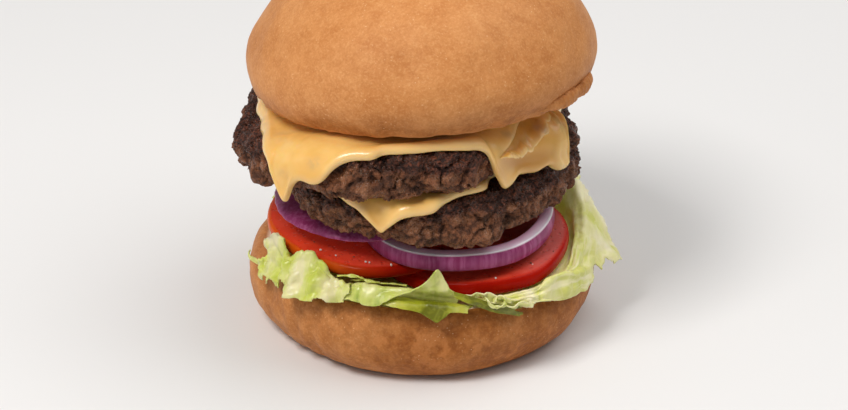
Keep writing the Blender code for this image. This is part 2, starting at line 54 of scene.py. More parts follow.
# %% [markdown]
# ## Small tools
# Food has few straight lines, so most pieces start as a primitive that is cut and rounded in edit mode, and
# are then moved point by point with smooth functions, as a sculptor would push clay. The functions work on
# whole lists of points at once. `cells` is the pattern behind crumbs and clods: space is split round
# scattered seeds, and a crease runs where two seeds are equally near.

# %% Smooth functions
def unit(values):
    """Values held between 0 and 1."""
    return np.clip(values, 0.0, 1.0)


def ease(value):
    """A smooth step from 0 to 1 as the value goes from 0 to 1."""
    value = unit(value)
    return value * value * (3.0 - 2.0 * value)


def bell(away, width):
    """1 where away is 0, falling smoothly to 0 on both sides."""
    return np.exp(-((away / width) ** 2))


def bump(angle, centre, width):
    """A bell round an angle."""
    return bell((angle - centre + 180.0) % 360.0 - 180.0, width)


def swing(angle, times, start=0.0):
    """A sine wave that goes round the burger so many times."""
    return np.sin(np.radians(angle) * times + start)


def facing(angle, centre):
    """1 at the centre angle, 0 on the far side of the burger."""
    return 0.5 + 0.5 * np.cos(np.radians(angle - centre))


def quarter(values, last):
    """How far each value is from 0 to the last one, as an angle from 0 to 90 degrees in radians."""
    return unit(values / last) * math.pi / 2.0


# %% Angles and places
def around(points, centre=(0.0, 0.0)):
    """Angle and distance of each point from an upright axis."""
    x, y = points[:, 0] - centre[0], points[:, 1] - centre[1]
    return np.degrees(np.arctan2(y, x)) % 360.0, np.hypot(x, y)


def spot(angle, radius, centre=(0.0, 0.0)):
    """x and y at this angle and distance from an upright axis."""
    turn = np.radians(angle)
    return centre[0] + radius * np.cos(turn), centre[1] + radius * np.sin(turn)


def points_at(x, y=0.0, z=0.0):
    """Points from their coordinates; a single number stands for all of them."""
    return np.stack(np.broadcast_arrays(x, y, z), axis=1)


# %% Waves, cells and curves
def waves(points, size, seed, octaves=3):
    """Smooth random hills and hollows of this size, about 0, one value a point."""
    shift = Vector((seed, -seed, seed * 0.5))
    return np.array([noise.fractal(Vector(point) / size + shift, 1.0, 2.0, octaves) for point in points])


def cells(points, size, seed):
    """For each point: distance to its cell's seed, closeness to the crease, and the cell's own number."""
    shift = Vector((seed, seed * 0.7, -seed))
    found = []
    for point in points:
        distances, seeds = noise.voronoi(Vector(point) / size + shift)
        found.append((distances[0], distances[1] - distances[0], noise.cell(seeds[0] * 41.0)))
    return np.array(found).T


def through(keys, rows, at):
    """Smooth values between the rows of a table that stand at these keys."""
    keys, rows = np.asarray(keys, float), np.asarray(rows, float)
    here = np.clip(np.searchsorted(keys, at) - 1, 0, len(keys) - 2)
    before, after = np.maximum(here - 1, 0), np.minimum(here + 2, len(keys) - 1)

    def wide(values):
        return values.reshape(values.shape + (1,) * (rows.ndim - 1))

    span = wide(keys[here + 1] - keys[here])
    t = wide(at - keys[here]) / span
    start = (rows[here + 1] - rows[before]) / wide(keys[here + 1] - keys[before])
    end = (rows[after] - rows[here]) / wide(keys[after] - keys[here])
    return (rows[here] * (2 * t**3 - 3 * t**2 + 1) + start * span * (t**3 - 2 * t**2 + t)
            + rows[here + 1] * (3 * t**2 - 2 * t**3) + end * span * (t**3 - t**2))


# %% [markdown]
# ## Handling meshes
# An operator acts on everything that is selected, so each step first selects its own piece. Pieces start as
# a flat grid or a ball. `finish_piece` is the last step for most: smooth shading, its material, the body it
# rides on, and the solids it stands for.

# %% Selecting and naming
def alone(*pieces):
    """Selects only these pieces and makes the first one active."""
    bpy.ops.object.select_all(action="DESELECT")
    for piece in pieces:
        piece.select_set(True)
    bpy.context.view_layer.objects.active = pieces[0]


def added(name):
    """Names the piece that was just made and returns it."""
    piece = bpy.context.object
    piece.name = piece.data.name = name
    return piece


def joined(pieces, name):
    alone(*pieces)
    bpy.ops.object.join()
    return added(name)


# %% Points of a piece
def vectors(values, field):
    """Blender's own list of vectors as rows of numbers."""
    flat = np.empty(len(values) * 3)
    values.foreach_get(field, flat)
    return flat.reshape(-1, 3)


def points_of(piece):
    return vectors(piece.data.vertices, "co")


def move_points(piece, points):
    piece.data.vertices.foreach_set("co", np.ascontiguousarray(points, dtype=float).ravel())
    piece.data.update()


def sink(piece, depth):
    """Moves each point inwards by its own depth, or outwards where that is negative."""
    normals = vectors(piece.data.vertex_normals, "vector")
    move_points(piece, points_of(piece) - normals * np.asarray(depth)[:, None])


# %% Starting shapes
def grid_piece(name, columns, rows):
    """A flat grid, with each point's place along and across it from -1 to 1."""
    bpy.ops.mesh.primitive_grid_add(x_subdivisions=columns, y_subdivisions=rows, size=2.0)
    piece = added(name)
    return piece, *points_of(piece)[:, :2].T


def tube_piece(name, columns, rows, start, end):
    """A grid to bend into a tube, with each point's angle round the burger and radians round the tube."""
    piece, along, across = grid_piece(name, columns, rows)
    return piece, start + (along + 1.0) / 2.0 * (end - start), across * math.pi


def ball_piece(name, segments, rings):
    """A ball, with each point's angle round it and its rise above the widest ring."""
    bpy.ops.mesh.primitive_uv_sphere_add(segments=segments, ring_count=rings, radius=1.0)
    piece = added(name)
    ball = points_of(piece)
    return piece, around(ball)[0], np.degrees(np.arcsin(np.clip(ball[:, 2], -1.0, 1.0)))


# %% Stored numbers, modifiers and edit mode
def note(piece, **numbers):
    """Stores numbers for each point, which the material reads by their names."""
    for name, values in numbers.items():
        layer = piece.data.attributes.new(name, "FLOAT", "POINT")
        layer.data.foreach_set("value", np.ascontiguousarray(values, dtype=np.float32))


def apply(piece, kind, **settings):
    """Adds one modifier and applies it."""
    alone(piece)
    modifier = piece.modifiers.new(kind.lower(), kind)
    for name, value in settings.items():
        setattr(modifier, name, value)
    bpy.ops.object.modifier_apply(modifier=modifier.name)


def edit(piece, select_mode="FACE", action="SELECT"):
    """Opens a piece in edit mode with everything selected, or nothing."""
    alone(piece)
    bpy.ops.object.mode_set(mode="EDIT")
    bpy.ops.mesh.select_mode(type=select_mode)
    bpy.ops.mesh.select_all(action=action)
    return bmesh.from_edit_mesh(piece.data)


def weld(piece, distance=0.000002):
    """Joins points on the same spot, fills the holes at a tube's ends and turns every face outwards."""
    edit(piece)
    bpy.ops.mesh.remove_doubles(threshold=distance)
    bpy.ops.mesh.select_all(action="SELECT")
    bpy.ops.mesh.fill_holes(sides=0)
    bpy.ops.mesh.select_all(action="SELECT")
    bpy.ops.mesh.normals_make_consistent(inside=False)
    bpy.ops.object.mode_set(mode="OBJECT")


# %% Finishing a piece
def dress(piece, material):
    """Gives a piece its material and the body it rides on."""
    piece.data.materials.clear()
    piece.data.materials.append(material)
    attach(piece, "root")
    triangles = sum(len(face.vertices) - 2 for face in piece.data.polygons)
    print(f"{piece.name}: {triangles} triangles")


def finish_piece(piece, material, slot, *solids):
    """Smooth shading, material and body for a finished piece, and hides the solids that it stands for."""
    alone(piece)
    bpy.ops.object.shade_smooth()
    dress(piece, material)
    if solids:
        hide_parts(*solids)


# %% [markdown]
# ## Writing materials as sums
# A material is a graph of nodes. `Wire` holds one output of it and overloads the usual signs, so `1 - mask
# * 0.5` adds the two Math nodes that say so. `Finish` is one material: `node` adds any other kind of node,
# and `coats` lays colours over each other, each through its own mask, as a painter builds up glazes.

# %% Arithmetic on a wire
def sign(operation, turned=False):
    """The method behind one sign of arithmetic: it adds a Math node, and turned swaps its two values."""

    def method(wire, other):
        values = (other, wire) if turned else (wire, other)
        return wire.finish.node("ShaderNodeMath", {"operation": operation}, dict(enumerate(values)))

    return method


class Wire:
    """One output in a material's graph, which can be added to, multiplied and so on."""

    __add__ = __radd__ = sign("ADD")
    __mul__ = __rmul__ = sign("MULTIPLY")
    __sub__ = sign("SUBTRACT")
    __rsub__ = sign("SUBTRACT", turned=True)

    def __init__(self, finish, socket):
        self.finish = finish
        self.socket = socket

    def between(self, low, high):
        """0 below low, 1 above high and a smooth step between; the other way round if low is above high."""
        if low > high:
            return 1 - self.between(high, low)
        inputs = {"Value": self, "From Min": low, "From Max": high}
        return self.finish.node("ShaderNodeMapRange", {"interpolation_type": "SMOOTHSTEP"}, inputs)


# %% A finish
class Finish:
    """One procedural material."""

    def __init__(self, name):
        self.material = bpy.data.materials.new(name)
        self.material.use_nodes = True
        self.tree = self.material.node_tree
        self.shader = self.tree.nodes["Principled BSDF"]

    def node(self, kind, settings=None, inputs=None, output=0):
        """Adds a node: its settings first, then a value or a wire for each of its sockets."""
        made = self.tree.nodes.new(kind)
        for name, value in (settings or {}).items():
            setattr(made, name, value)
        for name, value in (inputs or {}).items():
            self.feed(made.inputs[name], value)
        return Wire(self, made.outputs[output])

    def feed(self, socket, value):
        if isinstance(value, Wire):
            self.tree.links.new(value.socket, socket)
        elif socket.type == "RGBA":
            socket.default_value = (*value, 1.0)
        else:
            socket.default_value = value

    def set(self, **values):
        """Fills the shader's sockets; an underscore stands for a space."""
        for name, value in values.items():
            self.feed(self.shader.inputs[name.replace("_", " ")], value)

    def glow(self, weight, depth, colour):
        """Lets light in under the surface, to this depth, where it takes on this colour."""
        self.set(Subsurface_Weight=weight, Subsurface_Scale=depth, Subsurface_Radius=colour)

    def noted(self, name):
        """The number stored at each point under this name."""
        return self.node("ShaderNodeAttribute", {"attribute_name": name}, output="Fac")

    def place(self, stretch=(1.0, 1.0, 1.0)):
        """Where the point is on the object, in metres, stretched along its axes."""
        at = self.node("ShaderNodeTexCoord", output="Object")
        return self.node("ShaderNodeMapping", None, {"Vector": at, "Scale": stretch})

    def grain(self, size, detail=3.0, rough=0.5, at=None):
        """Cloudy noise from 0 to 1 with lumps of this size."""
        inputs = {"Vector": at or self.place(), "Scale": 1.0 / size, "Detail": detail, "Roughness": rough}
        return self.node("ShaderNodeTexNoise", None, inputs)

    def spots(self, size, feature="F1"):
        """Distance to the middle of random cells of this size."""
        inputs = {"Vector": self.place(), "Scale": 1.0 / size}
        return self.node("ShaderNodeTexVoronoi", {"feature": feature}, inputs)

    def coats(self, base, *coats):
        """A colour under coats of others; each is its mask, 1 where the coat covers, and its colour."""
        settings = {"data_type": "RGBA", "blend_type": "MIX"}
        for mask, colour in coats:
            base = self.node("ShaderNodeMix", settings, {0: mask, 6: base, 7: colour}, output=2)
        return base

    def ramp(self, value, *stops):
        """Colours from a ramp; each stop is its place on it and its colour."""
        wire = self.node("ShaderNodeValToRGB", None, {"Fac": value})
        elements = wire.socket.node.color_ramp.elements
        while len(elements) < len(stops):
            elements.new(1.0)
        for element, (position, colour) in zip(elements, stops):
            element.position = position
            element.color = (*colour, 1.0)
        return wire

    def relief(self, *heights):
        """Bumps over each other; each is its height from 0 to 1 and its depth in metres."""
        under = {}
        for height, depth in heights:
            inputs = {"Height": height, "Distance": depth, "Strength": 1.0, **under}
            under = {"Normal": self.node("ShaderNodeBump", None, inputs)}
        return under["Normal"]


# %% [markdown]
# ## Camera and light
# The camera looks down at the front of the burger by about thirty degrees, from about a metre away, so the
# crown shows its top and the heel its side. The main light is a small soft box high at the front left: its
# mirror image is the short white streak on the cheese, which gives its direction and its size. A wide weak
# one hangs over the right, where the big leaf is lit without the stack's shadow. A bright wall behind gives
# the pale glints along the outlines, two weak ones at the sides keep the bun's flanks from going grey, and
# the room is dim, so it gets dark under the crown.

# %% Camera, lights and floor
CAMERA_PLACE = (0.00047, -0.97433, 0.58324)
CAMERA_TILT = 60.5
CAMERA_LENS = 162.679
SENSOR_WIDTH = 36.0
ROOM_LIGHT = 0.22
FLOOR_DROP = 0.0002
WHITE = (1.0, 1.0, 1.0)


def put(name, data, place, turn):
    """Puts a camera or a light into the scene."""
    thing = bpy.data.objects.new(name, data)
    bpy.context.scene.collection.objects.link(thing)
    thing.location = place
    thing.rotation_euler = turn
    return thing


def add_window(name, place, target, size, power, colour=WHITE):
    """A soft rectangular light that faces its target."""
    window = bpy.data.lights.new(name, "AREA")
    window.shape = "RECTANGLE"
    window.size, window.size_y = size
    window.energy = power
    window.color = colour
    put(name, window, place, (Vector(target) - Vector(place)).to_track_quat("-Z", "Y").to_euler())


def add_room(strength):
    """Pale light from all round."""
    world = bpy.data.worlds.new("room")
    world.use_nodes = True
    background = world.node_tree.nodes["Background"]
    background.inputs["Color"].default_value = (*WHITE, 1.0)
    background.inputs["Strength"].default_value = strength
    bpy.context.scene.world = world


def add_floor():
    bpy.ops.mesh.primitive_plane_add(size=6.0, location=(0.0, 0.0, -FLOOR_DROP))
    floor = added("floor")
    pale = Finish("pale_floor")
    pale.set(Base_Color=(0.8, 0.79, 0.78), Roughness=0.7)
    floor.data.materials.append(pale.material)


# %% Set up the studio
lens = bpy.data.cameras.new("camera")
lens.lens = CAMERA_LENS
lens.sensor_width = SENSOR_WIDTH
bpy.context.scene.camera = put("camera", lens, CAMERA_PLACE, (math.radians(CAMERA_TILT), 0.0, 0.0))
add_window("soft_box", (-0.4, -0.4, 0.9), (0.0, 0.0, 0.06), (0.34, 0.34), 7.0, (1.0, 0.98, 0.96))
add_window("over_right", (0.5, 0.05, 0.9), (0.0, 0.0, 0.04), (0.9, 0.9), 5.4)
add_window("wall_behind", (0.0, 1.1, 0.55), (0.0, 0.0, 0.1), (2.4, 1.0), 2.5)
add_window("left_flank", (-1.0, -0.3, 0.4), (0.0, 0.0, 0.07), (0.9, 0.6), 1.3)
add_window("right_flank", (1.0, -0.3, 0.4), (0.0, 0.0, 0.07), (0.9, 0.6), 0.2)
add_room(ROOM_LIGHT)
add_floor()
bpy.context.scene.view_settings.view_transform = "Standard"

# %% [markdown]
# ## The bun
# Both halves start as a fine ball. Each ring of the ball is then given the radius and height of the bun's
# own section: a dome over a tight lower rounding for the crown, and a low drum with a rounded foot for the
# heel. A lathe would do as well, but the ball has its points spread evenly to the very top. The crown leans
# back and dips at the sides, because the fillings under it are uneven.

# %% Bun sizes
BUN_MESH = (180, 110)
CROWN_CENTRE = (-0.0006, 0.0)
CROWN_RADIUS = 0.0501
CROWN_DOME = 0.034
CROWN_RING_HEIGHT = 0.0839
CROWN_LIP_INSET = 0.0084
CROWN_LIP_DROP = 0.0099
CROWN_LIP_RISE = 52.0
CROWN_HOLLOW = 0.0018
CROWN_SLIMMER = 0.026
HEEL_CENTRE = (0.0002, 0.0005)
HEEL_RADIUS = 0.051
HEEL_FOOT_INSET = 0.0104
HEEL_FOOT_RISE = 45.0
HEEL_WIDEST_HEIGHT = 0.0123
HEEL_RIM_HEIGHT = 0.0215
HEEL_RIM_INSET = 0.0052
HEEL_RIM_RISE = 36.0
HEEL_CUT_HEIGHT = 0.0212
HEEL_CUT_INSET = 0.008
HEEL_FRONT_LIFT = 0.004


def crown_height(x, y):
    """Height of the crown's widest ring over (x, y)."""
    return CROWN_RING_HEIGHT - 0.064 * y + 0.046 * x + 0.0016 * (y * y - x * x) / CROWN_RADIUS**2


# %% Crown
def crown_section(rise):
    """Radius and height of the section at each rise angle: 90 at the top, 0 at the widest ring, -90 below."""
    flat = CROWN_RADIUS - CROWN_LIP_INSET
    lip = quarter(-rise, CROWN_LIP_RISE)
    inward = unit((-rise - CROWN_LIP_RISE) / (90.0 - CROWN_LIP_RISE))
    above, below = rise >= 0.0, rise < -CROWN_LIP_RISE
    radius = np.where(above, CROWN_RADIUS * np.cos(np.radians(rise)), flat + CROWN_LIP_INSET * np.cos(lip))
    height = np.where(above, CROWN_DOME * np.sin(np.radians(rise)), -CROWN_LIP_DROP * np.sin(lip))
    radius = np.where(below, flat * (1.0 - inward), radius)
    return radius, height + np.where(below, CROWN_HOLLOW * (1.0 - (radius / flat) ** 2), 0.0)


def make_crown():
    crown, angle, rise = ball_piece("crown_crust", *BUN_MESH)
    radius, height = crown_section(rise)
    low = ease((-height - 0.003) / 0.005) * ease((radius - 0.034) / 0.01)
    nick = bump(angle, 239.0, 2.2) * 0.0011 + bump(angle, 262.0, 3.0) * 0.0004
    scallop = 0.00035 * swing(angle, 23.0) + 0.0003 * swing(angle, 41.0, 1.0)
    fringe = points_at(*spot(angle, radius), height * 0.25)
    wrinkle = 0.0004 * waves(fringe, 0.0019, 5.2) * ease((-height - 0.0045) / 0.003)
    radius = radius * (1.0 - CROWN_SLIMMER * ease(rise / 25.0)) + low * (scallop - nick + wrinkle)
    uneven = 0.0009 * bump(angle, 345.0, 20.0) - 0.0001 * bump(angle, 185.0, 28.0)
    radius = radius + uneven * ease(radius / 0.05)
    x, y = spot(angle, radius, CROWN_CENTRE)
    points = points_at(x, y, crown_height(x, y) + height)
    move_points(crown, points)
    broad, small = waves(points, 0.03, 2.7), waves(points, 0.0065, 9.1)
    sink(crown, ease((height + 0.0095) / 0.004) * (0.0004 + 0.0007 * broad + 0.00016 * small))
    note(crown, crumb=ease((0.0405 - radius) / 0.0015) * (height < 0.0))
    # Browning and painted shade: darker towards the lower band and more at the right front, which is painted
    # shade; the waves are the crust's own uneven browning.
    edge = ease((-height + 0.001) / 0.0075) * (1.0 - 0.8 * ease((-height - 0.008) / 0.0012))
    note(crown, browning=unit(edge * (0.32 + 0.36 * facing(angle, 300.0) + 0.5 * small) + 0.2 * broad))
    return crown


# %% Torn lip of the crown
def make_lip():
    """The frayed ledge of darker crust that hangs on the crown's lower edge at the right."""
    lip, angle, round_tube = tube_piece("crown_lip", 180, 18, 308.0, 357.0)
    size = 0.02 + 0.98 * ease((angle - 310.0) / 15.0) * (1.0 - ease((angle - 343.0) / 15.0))
    line = points_at(angle * MM)
    tear = 1.0 + 0.7 * (0.5 * waves(line, 0.007, 3.3, 2) + 0.5 * waves(line, 0.0022, 4.1))
    out, tall = 0.0013 * size * tear, 0.0022 * size * tear
    radius = CROWN_RADIUS - 0.0034 + out * np.cos(round_tube) + 0.0027 * size
    drop = CROWN_LIP_DROP * 0.55 + tall * np.sin(round_tube) + 0.0012 * (1.0 - size)
    x, y = spot(angle, radius, CROWN_CENTRE)
    move_points(lip, points_at(x, y, crown_height(x, y) - drop))
    weld(lip)
    points = points_of(lip)
    sink(lip, 0.00025 * waves(points, 0.0024, 1.9, 4))
    note(lip, crumb=np.zeros(len(points)), browning=unit(0.45 + 0.6 * waves(points, 0.003, 6.6)))
    return lip


# %% Heel
def heel_section(rise):
    """Radius and height of the heel's section at each rise angle, from its cut face down to its foot."""
    foot, shoulder = quarter(-rise, HEEL_FOOT_RISE), quarter(rise, HEEL_RIM_RISE)
    flat, rim = HEEL_RADIUS - HEEL_FOOT_INSET, HEEL_RADIUS - HEEL_RIM_INSET
    sole = flat * (90.0 + rise) / (90.0 - HEEL_FOOT_RISE)
    low_radius = np.where(rise > -HEEL_FOOT_RISE, flat + HEEL_FOOT_INSET * np.cos(foot), sole)
    side = HEEL_RADIUS - HEEL_RIM_INSET * (1.0 - np.cos(shoulder))
    inward = unit((rise - HEEL_RIM_RISE) / (90.0 - HEEL_RIM_RISE))
    top_radius = np.where(rise < HEEL_RIM_RISE, side, rim * (1.0 - inward))
    top_height = HEEL_WIDEST_HEIGHT + (HEEL_RIM_HEIGHT - HEEL_WIDEST_HEIGHT) * np.sin(shoulder)
    dish = (HEEL_RIM_HEIGHT - HEEL_CUT_HEIGHT) * ease((rim - top_radius) / (HEEL_CUT_INSET - HEEL_RIM_INSET))
    below = rise < 0.0
    height = np.where(below, HEEL_WIDEST_HEIGHT * (1.0 - np.sin(foot)), top_height - dish)
    return np.where(below, low_radius, top_radius), height


def make_heel():
    heel, angle, rise = ball_piece("heel_crust", *BUN_MESH)
    radius, height = heel_section(rise)
    shoulder = (height - HEEL_WIDEST_HEIGHT) / (HEEL_RIM_HEIGHT - HEEL_WIDEST_HEIGHT)
    rim = ease((radius - HEEL_RADIUS + HEEL_CUT_INSET) / 0.004)
    height = height + HEEL_FRONT_LIFT * rim * ease(shoulder) * bump(angle, 262.0, 36.0)
    radius = radius + 0.001 * bump(angle, 195.0, 22.0) * ease(shoulder * 1.5) * rim
    points = points_at(*spot(angle, radius, HEEL_CENTRE), height)
    move_points(heel, points)
    broad, small = waves(points, 0.022, 6.3), waves(points, 0.006, 2.2)
    pleat = bump(angle, 226.0, 13.0) * ease((0.021 - height) / 0.01) * (0.5 + 0.5 * swing(angle, 44.0))
    pit = bump(angle, 207.0, 5.0) * ease((height - 0.012) / 0.006)
    depth = 0.0005 + 0.001 * broad + 0.0002 * small + 0.0013 * pleat + 0.0016 * pit
    sink(heel, ease((radius - 0.034) / 0.01) * ease(height / 0.004) * depth)
    move_points(heel, np.maximum(points_of(heel), (-1.0, -1.0, 0.0)))
    note(heel, crumb=ease((0.0462 - radius) / 0.0012) * (height > 0.018))
    # Browning and painted shade: the heel is painted darker towards its right side, where less light falls;
    # the waves are the crust's own uneven browning.
    note(heel, browning=unit(0.3 + 0.7 * facing(angle, 330.0) + 0.3 * broad + 0.35 * small))
    return heel


# %% [markdown]
# ## The crust's finish
# Baked crust is a thin browned skin over pale crumb. Three things make it look baked and not like plastic:
# the brown comes and goes in soft patches, tiny pale specks of flour and air sit in it, and its surface is
# finely pebbled, so the highlight breaks up. Where the bun is cut, the same material turns to open, pale
# crumb. The browning stored on the bun is partly painted shade: it darkens the heel's right side and the
# crown's lower band towards the right front, where less light falls. The rest of it is the crust's own
# uneven browning.

# %% Crust material
def crust_finish():
    crust = Finish("baked_crust")
    browning, crumb = crust.noted("browning"), crust.noted("crumb")
    patch, blotch = crust.grain(0.014, 4.0), crust.grain(0.0058, 4.0, 0.62)
    mottle, dust = crust.grain(0.0017), crust.grain(0.00065, rough=0.7)
    speck = crust.spots(0.0012).between(0.2, 0.06) * crust.grain(0.005).between(0.5, 0.66)
    tan = crust.coats((0.63, 0.268, 0.089),
                      (patch.between(0.3, 0.72), (0.54, 0.206, 0.058)),
                      (blotch.between(0.5, 0.66) * 0.36, (0.46, 0.155, 0.038)),
                      (blotch.between(0.48, 0.32) * 0.35, (0.7, 0.32, 0.115)),
                      (mottle.between(0.42, 0.7) * 0.3, (0.72, 0.34, 0.12)),
                      (dust.between(0.5, 0.68) * 0.34, (0.78, 0.43, 0.185)),
                      (dust.between(0.5, 0.34) * 0.28, (0.45, 0.15, 0.036)))
    brown = crust.coats((0.25, 0.068, 0.01),
                        (mottle.between(0.36, 0.66), (0.37, 0.114, 0.02)),
                        (blotch.between(0.5, 0.36) * 0.7, (0.54, 0.19, 0.05)),
                        (dust.between(0.5, 0.7) * 0.35, (0.52, 0.22, 0.064)))
    # The holes in the cut crumb are painted darker, as painted shade inside them; their dip is only a bump.
    holes = crust.spots(0.0022).between(0.28, 0.1) * crust.grain(0.006).between(0.4, 0.62)
    inside = crust.coats((0.84, 0.66, 0.46), (crust.grain(0.004), (0.95, 0.82, 0.66)),
                         (holes * 0.6, (0.56, 0.36, 0.2)))
    # The brown coat goes on through the stored browning, which is partly painted shade.
    crust.set(Base_Color=crust.coats(tan, (browning * 0.85, brown), (speck * 0.55, (0.9, 0.62, 0.34)),
                                     (crumb, inside)),
              Normal=crust.relief((dust, 0.00011), (mottle, 0.00016), (1 - holes * crumb, 0.0005)),
              Roughness=0.52 + crumb * 0.35, Specular_IOR_Level=0.15)
    return crust.material


crust_material = crust_finish()
finish_piece(make_crown(), crust_material, "bun", "bun_crown")
finish_piece(make_lip(), crust_material, "bun")
finish_piece(make_heel(), crust_material, "bun", "bun_heel")

# %% [markdown]
# ## Layers
# Every round layer has a centre, an uneven rim and two faces whose heights are given over x and y, the same
# as in the solid model. A plain disc is shaped onto its layer, so the stack fits together however each
# piece is later carved.

# %% Layer shapes
class Layer:
    """A round layer: its place and size, and its underside and top as heights over (x, y).

    Each uneven part of the rim is its angle, its width in degrees, and how far it stands out.
    """

    def __init__(self, centre, radius, thickness, bottom, top=None, rim=(), rounding=0.0006):
        self.centre, self.radius, self.thickness = centre, radius, thickness
        self.bottom, self.top = bottom, top or (lambda x, y: bottom(x, y) + thickness)
        self.rim, self.rounding = rim, rounding

    def rim_radius(self, angle):
        return self.radius + sum(out * bump(angle, at, wide) for at, wide, out in self.rim)


# %% The layers of the stack
def past(value, start, span):
    """The square of how many spans a value is past the start."""
    return (np.maximum(0.0, value - start) / span) ** 2


PATTY_ROUNDING = 0.0048
LOWER_PATTY = Layer(
    (0.0015, -0.0005), 0.0452, 0.0143,
    lambda x, y: 0.0427 - 0.03 * y - 0.003 * past(x, 0.016, 0.03),
    lambda x, y: 0.057 - 0.03 * y - 0.0045 * past(-x, 0.01, 0.033) - 0.0062 * past(x, 0.014, 0.031),
    rim=[(200, 20, -0.002), (233, 9, 0.0014), (252, 5, -0.0012), (262, 8, 0.0012), (302, 4, -0.0022),
         (322, 13, -0.0034), (344, 14, -0.0034), (60, 22, 0.0018), (120, 15, -0.0022), (150, 14, 0.0015)],
    rounding=PATTY_ROUNDING)
UPPER_PATTY = Layer(
    (-0.0049, 0.0), 0.0498, 0.0114,
    lambda x, y: 0.0599 - 0.03 * y - 0.0092 * past(-x, 0.012, 0.042) - 0.0052 * past(x, 0.014, 0.031),
    lambda x, y: 0.0713 - 0.064 * y - 0.0095 * past(-x, 0.012, 0.042) - 0.0085 * past(x, 0.012, 0.033),
    rim=[(173, 11, -0.0024), (191, 8, 0.0008), (206, 8, -0.0004), (250, 10, 0.0006), (275, 8, -0.001),
         (290, 8, 0.001), (318, 20, -0.0082), (348, 6.5, 0.0027), (8, 14, -0.003), (48, 18, -0.003),
         (80, 14, 0.0014), (125, 16, -0.0024)],
    rounding=PATTY_ROUNDING)
TOMATO_LEFT = Layer(
    (-0.013, -0.0065), 0.0316, 0.0042, lambda x, y: 0.0296 + 0.045 * np.maximum(0.0, x - 0.004),
    rim=[(215, 18, -0.0008), (264, 16, 0.001)])
TOMATO_RIGHT = Layer(
    (0.014, -0.0125), 0.028, 0.005, lambda x, y: 0.0228 + 0.066 * (x + 0.014),
    rim=[(308, 20, 0.0016), (225, 25, -0.001)])
ONION_SLICE = Layer((-0.0164, -0.008), 0.0265, 0.0032, lambda x, y: 0.0392)
ONION_RING = Layer(
    (0.0092, -0.014), 0.0287, 0.0051, lambda x, y: 0.0343 - 0.045 * np.maximum(0.0, x - 0.014))


# %% Discs on the layers
def lay(piece, layer):
    """Moves a flat disc's points, which stand on z = 0, onto the layer's rim, underside and top."""
    disc = points_of(piece)
    angle, radius = around(disc)
    share = radius / layer.radius
    radius = radius + (layer.rim_radius(angle) - layer.radius) * share * share
    x, y = spot(angle, radius, layer.centre)
    bottom, top, height = layer.bottom(x, y), layer.top(x, y), disc[:, 2]
    squeeze = np.minimum(1.0, (top - bottom) / layer.thickness)
    low, high = bottom + height * squeeze, top - (layer.thickness - height) * squeeze
    upper = ease(height / layer.thickness)
    move_points(piece, points_at(x, y, low * (1.0 - upper) + high * upper))


def rounded_disc(name, layer, voxel):
    """A disc on z = 0 with rounded rims, remeshed into even squares."""
    bpy.ops.mesh.primitive_cylinder_add(vertices=180, radius=layer.radius, depth=layer.thickness,
                                        location=(0.0, 0.0, layer.thickness / 2.0))
    bpy.ops.object.transform_apply(location=True)
    disc = added(name)
    shape = edit(disc, "EDGE", "DESELECT")
    for edge in shape.edges:
        level = all(abs(vert.co.z - edge.verts[0].co.z) < 1e-6 for vert in edge.verts)
        edge.select = level and len([face for face in edge.link_faces if len(face.verts) > 4]) == 1
    bmesh.update_edit_mesh(disc.data)
    bpy.ops.mesh.bevel(offset=layer.rounding, segments=8, profile=0.5, affect="EDGES")
    bpy.ops.object.mode_set(mode="OBJECT")
    apply(disc, "REMESH", mode="VOXEL", voxel_size=voxel)
    apply(disc, "SMOOTH", factor=0.5, iterations=6)
    return disc


# %% [markdown]
# ## Patties
# A hand-pressed patty is made of clods of mince, each made of short strands and these of small grains, and
# heat opens cracks between them. So the disc is carved with the cell pattern at three sizes. The pattern is
# strongly warped first and fades in and out, because evenly creased cells look like pebbles. The hot plate
# sears the flat faces and the edge nearly black, and the sides stay brown, so the height within the patty
# is stored for the material. How near each point lies to a crack is stored too, and the material paints
# the cracks darker as painted shade.

# %% Patties
PATTY_VOXEL = 0.00056
# Where the lower rim bulges down and out: angle, width in degrees, and how far.
LOWER_SAGS = [(270, 11, 0.0016), (292, 11, 0.0024)]
UPPER_SAGS = [(212, 6, 0.0026), (246, 9, 0.0013), (258, 14, 0.0014)]


